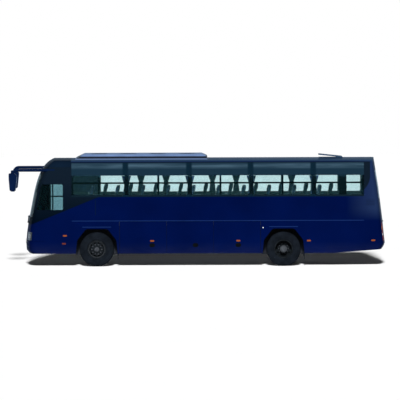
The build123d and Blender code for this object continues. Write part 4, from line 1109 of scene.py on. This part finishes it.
@dataclass
class BodyTrim(Assembly):
    """Small lamps, mouldings, gutters, plates, latches, seals, dark aprons that stand in for shade, screens
    and mirror glass.
    """

    markers: tuple[tuple[float, float, str], ...] = (
        (1.210, 0.944, "amber_lens"), (1.180, 0.702, "dim_red_lens"), (8.653, 0.775, "amber_lens"),
        (10.617, 0.778, "amber_lens"),
    )
    door_shift: float = 0.255
    waist: tuple[float, float] = (1.42, 10.34)
    waist_z: float = 1.392
    arch_runs: tuple[tuple[float, float], ...] = ((1.74, 2.62), (7.44, 8.32))
    arch_z: float = 1.205
    bead: tuple[float, float] = (0.006, 0.013)
    gutter_in: float = 0.148
    fog: Triple = (0.099, 0.880, 0.620)
    flap: tuple[float, float] = (7.256, 1.174)
    # Dark aprons that stand in for shade in the wheel hoods: distance from the axle, Y and Z
    shade_apron: Triple = (0.550, 0.516, 0.495)
    cups: tuple[float, ...] = (3.870, 5.193, 6.499)
    cup_z: float = 0.648
    handle_z: float = 1.12
    lip_in: float = 0.061
    lip_half: float = 0.016
    lip_gap: float = 0.004
    mirror: Triple = (-0.268, 1.18, 2.56)
    mirror_lean: float = 0.105
    # Half sizes along X, Y and Z
    lens_half: Triple = (0.061, 0.012, 0.025)
    plate_half: Triple = (0.010, 0.26, 0.055)
    cup_half: Triple = (0.085, 0.004, 0.064)
    paddle_half: Triple = (0.052, 0.005, 0.013)
    fog_half: Triple = (0.012, 0.056, 0.056)
    knob_half: Triple = (0.018, 0.009, 0.018)
    grip_half: Triple = (0.014, 0.005, 0.005)
    handle_half: Triple = (0.028, 0.004, 0.075)
    pull_half: Triple = (0.010, 0.007, 0.062)
    mirror_half: Triple = (0.004, 0.105, 0.185)
    shade_apron_half: Triple = (0.110, 0.004, 0.165)

    def lumps(self, name: str, slot: str, finish: str, lumps: list[tuple], body: str = "coach") -> None:
        """Makes one piece of superellipsoids.

        Args:
            name: the piece's name.
            slot: passed on to fit, which takes it as the finish when none is given.
            finish: its finish.
            lumps: for each of them, what Stock.pebble takes.
            body: the body that it rides on.
        """
        stock = Stock()
        for lump in lumps:
            stock.pebble(*lump)
        self.fit(stock, name, slot, finish, body)

    def side_path(self, side: Side, ends: tuple[float, float], count: int, z: float,
                  inset: float = 0.0) -> Array:
        """Returns: points along a level line on one side, between two distances behind the nose."""
        y = side.value * (self.datum.half - inset)
        return np.array([(self.datum.at(s), y, z) for s in np.linspace(*ends, count)])

    def add_markers(self) -> None:
        """Adds the side marker lamps as lozenges; on the right the front ones stand behind the doorway."""
        for tint in ("amber_lens", "dim_red_lens"):
            lenses = []
            for s, z, colour in self.markers:
                if colour != tint:
                    continue
                for side in Side:
                    shift = self.door_shift if side is Side.RIGHT and s < self.waist[0] else 0.0
                    centre = (self.datum.at(s + shift), side.value * self.datum.half, z)
                    lenses.append((centre, self.lens_half, 0.35, 9, 28))
            self.lumps(f"marker_lamps_{tint}", "red_lamp", tint, lenses)

    def add_mouldings(self) -> None:
        """Adds the waist mouldings and the gutters: oval bars run along both sides."""
        angle = np.linspace(0, TURN, 12, endpoint=False)
        oval = np.stack([np.cos(angle), np.sin(angle)], axis=1) * self.bead
        waist, gutters = Stock(), Stock()
        roof_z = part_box("side_glass")[1][2] + 0.012
        for side in Side:
            waist.bar(self.side_path(side, self.waist, 24, self.waist_z), oval, (0, 0, 1))
            for run in self.arch_runs:
                waist.bar(self.side_path(side, run, 8, self.arch_z), oval, (0, 0, 1))
            gutters.bar(self.side_path(side, self.waist, 24, roof_z, self.gutter_in), 1.3 * oval, (0, 0, 1))
        self.fit(waist, "waist_mouldings", "body_paint", "moulding_paint")
        self.fit(gutters, "roof_gutters", "body_paint", "black_cap_paint")

    def add_plates(self) -> None:
        """Adds the two bare number plates as thin rounded slabs, leaned like the nose and the tail."""
        front = ((self.datum.nose - 0.003, 0, 0.745), self.plate_half, 0.2, 9, 36, 0.06)
        rear = ((self.datum.tail - 0.035, 0, 0.565), self.plate_half, 0.2, 9, 36, 0.497)
        self.lumps("number_plates", "black_plastic", "pale_plate", [front, rear])

    def add_latches(self) -> None:
        """Adds a dark round cup with a paddle to each luggage door, and marker lamps over the outer two."""
        for side in Side:
            y = side.value * self.datum.half
            for number, s in enumerate(self.cups, 1):
                tag = f"{side.word}_{number}"
                node = f"luggage_door_{tag}"
                x, z = self.datum.at(s), self.cup_z
                cup = ((x, y, z), self.cup_half, 0.8, 9, 32)
                paddle = ((x, y + side.value * 0.003, z - 0.012), self.paddle_half, 0.4, 7, 18)
                self.lumps(f"latches_{tag}", "black_plastic", "seal_rubber", [cup, paddle], node)
                if number != 2:
                    lens = ((x, y, z + 0.131), self.lens_half, 0.35, 9, 28)
                    self.lumps(f"door_marker_{tag}", "red_lamp", "amber_lens", [lens], node)
                self.add_seals(node, side, number)

    def add_seals(self, node: str, side: Side, number: int) -> None:
        """Adds the rubber lips on a luggage door's ends: thick next to the skirts, thin between the doors.

        Args:
            node: the door's node and body.
            side: side of the coach.
            number: the door's place from the front, 1 to 3.
        """
        low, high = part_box(node)
        middle, tall = (low[2] + high[2]) / 2, (high[2] - low[2]) / 2 - 0.012
        lips = []
        for end, out, outer in ((low[0], -1, number == 1), (high[0], 1, number == 3)):
            half = 0.004 if outer else 0.0014
            centre = (end + out * half, side.value * (self.datum.half - 0.020), middle)
            lips.append((centre, (half, 0.014, tall), 0.25, 9, 20))
        self.lumps(f"seals_{side.word}_{number}", "tyre_rubber", "seal_rubber", lips, node)

    def add_small_lamps(self) -> None:
        """Adds the fog lamps' lenses in the bumper as domed discs, and the filler's knob on the left."""
        s, y, z = self.fog
        discs = [((self.datum.at(s), side.value * y, z), self.fog_half, 1.0, 9, 32) for side in Side]
        self.lumps("fog_lamps", "lamp_glass", "headlamp_lens", discs)
        x, y, z = self.datum.at(self.flap[0]), -self.datum.half, self.flap[1]
        knob = ((x, y, z), self.knob_half, 0.8, 9, 28)
        grip = ((x, y - 0.008, z), self.grip_half, 0.5, 7, 20)
        self.lumps("filler_knob", "rim_steel", "pale_plate", [knob, grip])

    def add_door_trim(self) -> None:
        """Adds the entry door's handle, a flush cup with a pull, and rubber strips round the doorway."""
        low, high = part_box("entry_door")
        x, y, z = high[0] - 0.045, self.datum.half, self.handle_z
        cup = ((x, y, z), self.handle_half, 0.35, 9, 28)
        pull = ((x, y + 0.004, z), self.pull_half, 0.5, 9, 20)
        self.lumps("entry_door_handle", "rim_steel", "black_plastic", [cup, pull], "entry_door")
        middle = [(low[axis] + high[axis]) / 2 for axis in range(3)]
        half = [(high[axis] - low[axis]) / 2 for axis in range(3)]
        y = self.datum.half - self.lip_in
        upright, level = (self.lip_half, 0.005, half[2]), (half[0] + self.lip_half, 0.005, self.lip_half)
        strips = [((x, y, middle[2]), upright, 0.2, 9, 20)
                  for x in (low[0] - self.lip_gap, high[0] + self.lip_gap)]
        strips.append(((middle[0], y, high[2] + self.lip_gap), level, 0.2, 9, 20))
        self.lumps("doorway_seals", "tyre_rubber", "seal_rubber", strips)

    def add_mirror_glass(self) -> None:
        """Adds the mirror glasses: shallow crowned plates on the rear faces of the heads."""
        s, y, z = self.mirror
        plates = [((self.datum.at(s), side.value * y, z), self.mirror_half, 0.25, 13, 32, self.mirror_lean)
                  for side in Side]
        self.lumps("mirror_glasses", "clear_glass", "mirror_silver", plates)

    def add_shade_aprons(self) -> None:
        """Adds dark aprons that stand in for the shade seen through the wheel hoods: thin rounded rubber
        panels on their inner walls.
        """
        # Dark panels put where the view through the wheel hoods is in shade
        along, y, z = self.shade_apron
        panels = [((axle + way * along, side.value * y, z), self.shade_apron_half, 0.15, 9, 36)
                  for axle in (self.datum.front_axle, self.datum.rear_axle)
                  for side in Side for way in (-1, 1)]
        self.lumps("shade_aprons", "black_plastic", "black_plastic", panels)

    def add_screens(self) -> None:
        """Adds the dark screens behind the grille and the lid's slots: plates bowed by the square of Y."""
        # Name, body, X, bow, Z, half height, lean, half width, thickness
        screens = (
            ("grille_screen", "coach", self.datum.nose + 0.060, 0.1016, 0.623, 0.135, 0.0, 0.580, 0.006),
            ("lid_screen", "engine_lid", self.datum.tail - 0.070, -0.0557, 0.930, 0.210, -0.1085, 0.730,
             -0.006),
        )
        for name, body, x, bow, z, half, lean, reach, thick in screens:
            y = np.linspace(-reach, reach, 25)
            path = np.stack([x + bow * y**2, y, np.full(25, z)], axis=1)
            shift = lean * half
            plate = [(-shift, -half), (shift, half), (shift + thick, half), (thick - shift, -half)]
            stock = Stock()
            stock.bar(path, np.array(plate), (0, 0, 1))
            self.fit(stock, name, "black_plastic", body=body)

    def build(self) -> None:
        """Builds all the trim in order."""
        self.add_markers()
        self.add_mouldings()
        self.add_plates()
        self.add_latches()
        self.add_small_lamps()
        self.add_door_trim()
        self.add_mirror_glass()
        self.add_shade_aprons()
        self.add_screens()


@dataclass
class RoofFans(Assembly):
    """Fan blades and wire guards in the wells of the roof unit."""

    start: float = 1.517
    ramp: float = 0.275
    run: float = 3.599
    fans: int = 4
    top_z: float = 3.404
    well: float = 0.270
    hub: float = 0.080
    blades: int = 5
    blade_turn: float = 0.3
    pitch: float = 0.022
    camber: float = 0.006
    rings: tuple[float, ...] = (0.120, 0.170, 0.220, 0.264)
    ring_r: float = 0.0035
    spokes: int = 8
    spoke_r: float = 0.004

    @staticmethod
    def polar(x: float, radius: Array | float, angle: Array | float, z: Array | float) -> Array:
        """Returns: points at a radius and an angle about an upright line on the middle plane."""
        return np.stack(np.broadcast_arrays(x + radius * np.cos(angle), radius * np.sin(angle), z), axis=-1)

    def blade(self, stock: Stock, x: float, turn: float) -> None:
        """Adds one blade: a sector of the well whose height falls along its arc, with a cambered middle.

        Args:
            stock: mesh that takes the blade.
            x: middle of the fan.
            turn: angle of the blade's leading edge.
        """
        radius = np.linspace(self.hub - 0.002, self.well - 0.018, 8)[:, None]
        share = np.linspace(0, 1, 9)[None]
        angle = turn + share * (0.75 + 0.6 * (radius - self.hub))
        z = self.top_z - self.pitch - self.pitch * share + self.camber * np.sin(math.pi * share)
        stock.grid(self.polar(x, radius, angle, z))

    def guard(self, stock: Stock, x: float) -> None:
        """Adds a guard: round wires on spokes that reach the rim of the well.

        Args:
            stock: mesh that takes the guard.
            x: middle of the fan.
        """
        angle = np.linspace(0, TURN, 40, endpoint=False)
        for radius in self.rings:
            path = self.polar(x, radius, angle, self.top_z - 0.005)
            stock.pipe(path, self.ring_r, (0, 0, 1), 6, True)
        along = np.linspace(self.hub * 0.5, self.well + 0.004, 5)
        for turn in np.linspace(0, TURN, self.spokes, endpoint=False):
            path = self.polar(x, along, turn, self.top_z - 0.006)
            stock.pipe(path, self.spoke_r, (0, 0, 1), 6)

    def build(self) -> None:
        """Builds all the fans."""
        blades, guards = Stock(), Stock()
        for number in range(self.fans):
            x = self.datum.at(self.start + self.ramp + (number + 0.5) * self.run / self.fans)
            for turn in np.linspace(0, TURN, self.blades, endpoint=False):
                self.blade(blades, x, turn + self.blade_turn * number)
            self.guard(guards, x)
        self.fit(blades, "roof_fan_blades", "black_plastic")
        self.fit(guards, "roof_fan_guards", "black_plastic")


@dataclass
class Cab(Assembly):
    """The driver's steering wheel: a rim, two spokes and a horn pad on the column."""

    place: Triple = (0.800, -0.640, 1.560)
    radius: float = 0.2125
    rim_r: float = 0.0125
    column_r: float = 0.025
    column: float = 0.19
    dish: float = 0.02
    spoke: tuple[tuple[float, float], ...] = (
        (-0.018, -0.006), (0.018, -0.006), (0.018, 0.006), (-0.018, 0.006),
    )
    tilt: Triple = (0.4983, 0.0, 0.8670)

    def build(self) -> None:
        """Builds the wheel: a circle carried round a ring, bars for the spokes and a rounded pad."""
        s, y, z = self.place
        normal, aside = np.array(self.tilt), np.array([0, 1, 0])
        flat = np.cross(aside, normal)
        angle = np.linspace(0, TURN, 48, endpoint=False)[:, None]
        hub = np.array([self.datum.at(s), y, z]) + 0.012 * normal
        stock = Stock()
        rim = hub + self.radius * (np.cos(angle) * flat + np.sin(angle) * aside)
        stock.pipe(rim, self.rim_r, self.tilt, 12, True)
        run = np.linspace(0.02, self.radius - 0.004, 6)[:, None]
        arch = -self.dish * (1 - run / self.radius) * normal
        for way in (-1, 1):
            stock.bar(hub + way * run * aside + arch, np.array(self.spoke), self.tilt)
        stock.pebble(tuple(hub - 0.012 * normal), (0.06, 0.06, 0.022), 0.6, 9, 24)
        column = np.linspace(0.0, 1.0, 6)[:, None] * (-self.column * normal)
        stock.pipe(hub - 0.01 * normal + column, self.column_r, (0, 1, 0), 16)
        wheel = self.fit(stock, "driver_wheel", "black_plastic", "dark_leather")
        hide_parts("steering_wheel")


@dataclass
class Studio:
    """A white floor and world, soft suns and the camera of the photograph."""

    floor_half: float = 90.0
    distance: float = 200.0
    span: float = 12.20
    aim: Triple = (0.112, -1.25, 2.025)
    roll: float = 0.18
    rise: float = 2.5
    ambient: float = 0.024
    sky: float = 0.50
    sun_strength: float = 7.0
    sun_height: float = 28.0
    sun_spread: float = 6.0
    fill_strength: float = 1.8
    fill_height: float = 0.5
    fill_turns: tuple[float, ...] = (130.0, 230.0)

    def add_floor(self) -> None:
        """Adds the floor: a gently gridded flat sheet at ground level."""
        steps = np.linspace(-self.floor_half, self.floor_half, 9)
        x, y = np.meshgrid(steps, steps, indexing="ij")
        rows = np.stack([x, y, np.zeros_like(x)], axis=-1)
        stock = Stock()
        stock.grid(rows)
        mesh = bpy.data.meshes.new("studio_floor")
        mesh.from_pydata(np.concatenate(stock.points), [], stock.faces)
        floor = bpy.data.objects.new("studio_floor", mesh)
        bpy.context.scene.collection.objects.link(floor)
        white = Finish("floor_white", (0.93, 0.93, 0.93), 0.9, 0.0, 0.0, 40, 0.0001, 0.01, 0.4)
        mesh.materials.append(white.build())
        floor.visible_glossy = False

    def add_light(self) -> None:
        """Adds a world, white to the camera, pale blue to gloss and dim to the rest, and the suns."""
        world = bpy.data.worlds.new("studio_world")
        bpy.context.scene.world = world
        world.use_nodes = True
        nodes, links = world.node_tree.nodes, world.node_tree.links
        path = nodes.new("ShaderNodeLightPath")
        shade = nodes["Background"]
        shade.inputs["Color"].default_value = (0.92, 0.96, 1.0, 1.0)
        shade.inputs["Strength"].default_value = self.ambient
        layers = (
            ("Is Glossy Ray", (0.62, 0.80, 1.0, 1.0), self.sky),
            ("Is Transmission Ray", (1, 1, 1, 1), 1.0),
            ("Is Camera Ray", (1, 1, 1, 1), 1.0),
        )
        for ray, colour, strength in layers:
            light = nodes.new("ShaderNodeBackground")
            light.inputs["Color"].default_value = colour
            light.inputs["Strength"].default_value = strength
            choice = nodes.new("ShaderNodeMixShader")
            links.new(path.outputs[ray], choice.inputs[0])
            links.new(shade.outputs[0], choice.inputs[1])
            links.new(light.outputs[0], choice.inputs[2])
            shade = choice
        links.new(shade.outputs[0], nodes["World Output"].inputs["Surface"])
        self.add_sun("studio_sun", self.sun_strength, self.sun_height, 0.0)
        for number, turn in enumerate(self.fill_turns, 1):
            self.add_sun(f"studio_fill_{number}", self.fill_strength, self.fill_height, turn)

    def add_sun(self, name: str, strength: float, height: float, turn: float) -> None:
        """Adds a soft sun that gloss doesn't mirror.

        Args:
            name: the lamp's name.
            strength: its power.
            height: its height over the horizon in degrees.
            turn: its turn about the vertical in degrees, from the left of the coach.
        """
        lamp = bpy.data.lights.new(name, "SUN")
        lamp.energy = strength
        lamp.angle = math.radians(self.sun_spread)
        sun = bpy.data.objects.new(name, lamp)
        sun.rotation_euler = (math.radians(90 - height), 0, math.radians(turn))
        sun.visible_glossy = False
        bpy.context.scene.collection.objects.link(sun)

    def add_camera(self) -> None:
        """Adds the long-lens camera square to the left side, with the photograph's slight roll."""
        data = bpy.data.cameras.new("photo_camera")
        data.sensor_width = 36.0
        data.lens = data.sensor_width * self.distance / self.span
        data.clip_end = 4 * self.distance
        camera = bpy.data.objects.new("photo_camera", data)
        tilt = math.radians(self.rise)
        camera.location = (
            self.aim[0],
            self.aim[1] - self.distance * math.cos(tilt),
            self.aim[2] + self.distance * math.sin(tilt),
        )
        camera.rotation_mode = "XYZ"
        camera.rotation_euler = (math.radians(90) - tilt, math.radians(self.roll), 0)
        bpy.context.scene.collection.objects.link(camera)
        bpy.context.scene.camera = camera

    def build(self) -> None:
        """Builds the studio."""
        bpy.context.scene.view_settings.view_transform = "Standard"
        self.add_floor()
        self.add_light()
        self.add_camera()


def main() -> None:
    """Builds the sub-assemblies in order."""
    logging.basicConfig(level=logging.INFO, format="%(name)s: %(message)s")
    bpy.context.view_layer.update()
    datum = Datum.read()
    finishes = Finishes(datum)
    finishes.dress_nodes()
    Wheels(datum, finishes).build()
    Seats(datum, finishes).build()
    Curtains(datum, finishes).build()
    Cab(datum, finishes).build()
    BodyTrim(datum, finishes).build()
    RoofFans(datum, finishes).build()
    Studio().build()


if __name__ == "__main__":
    main()
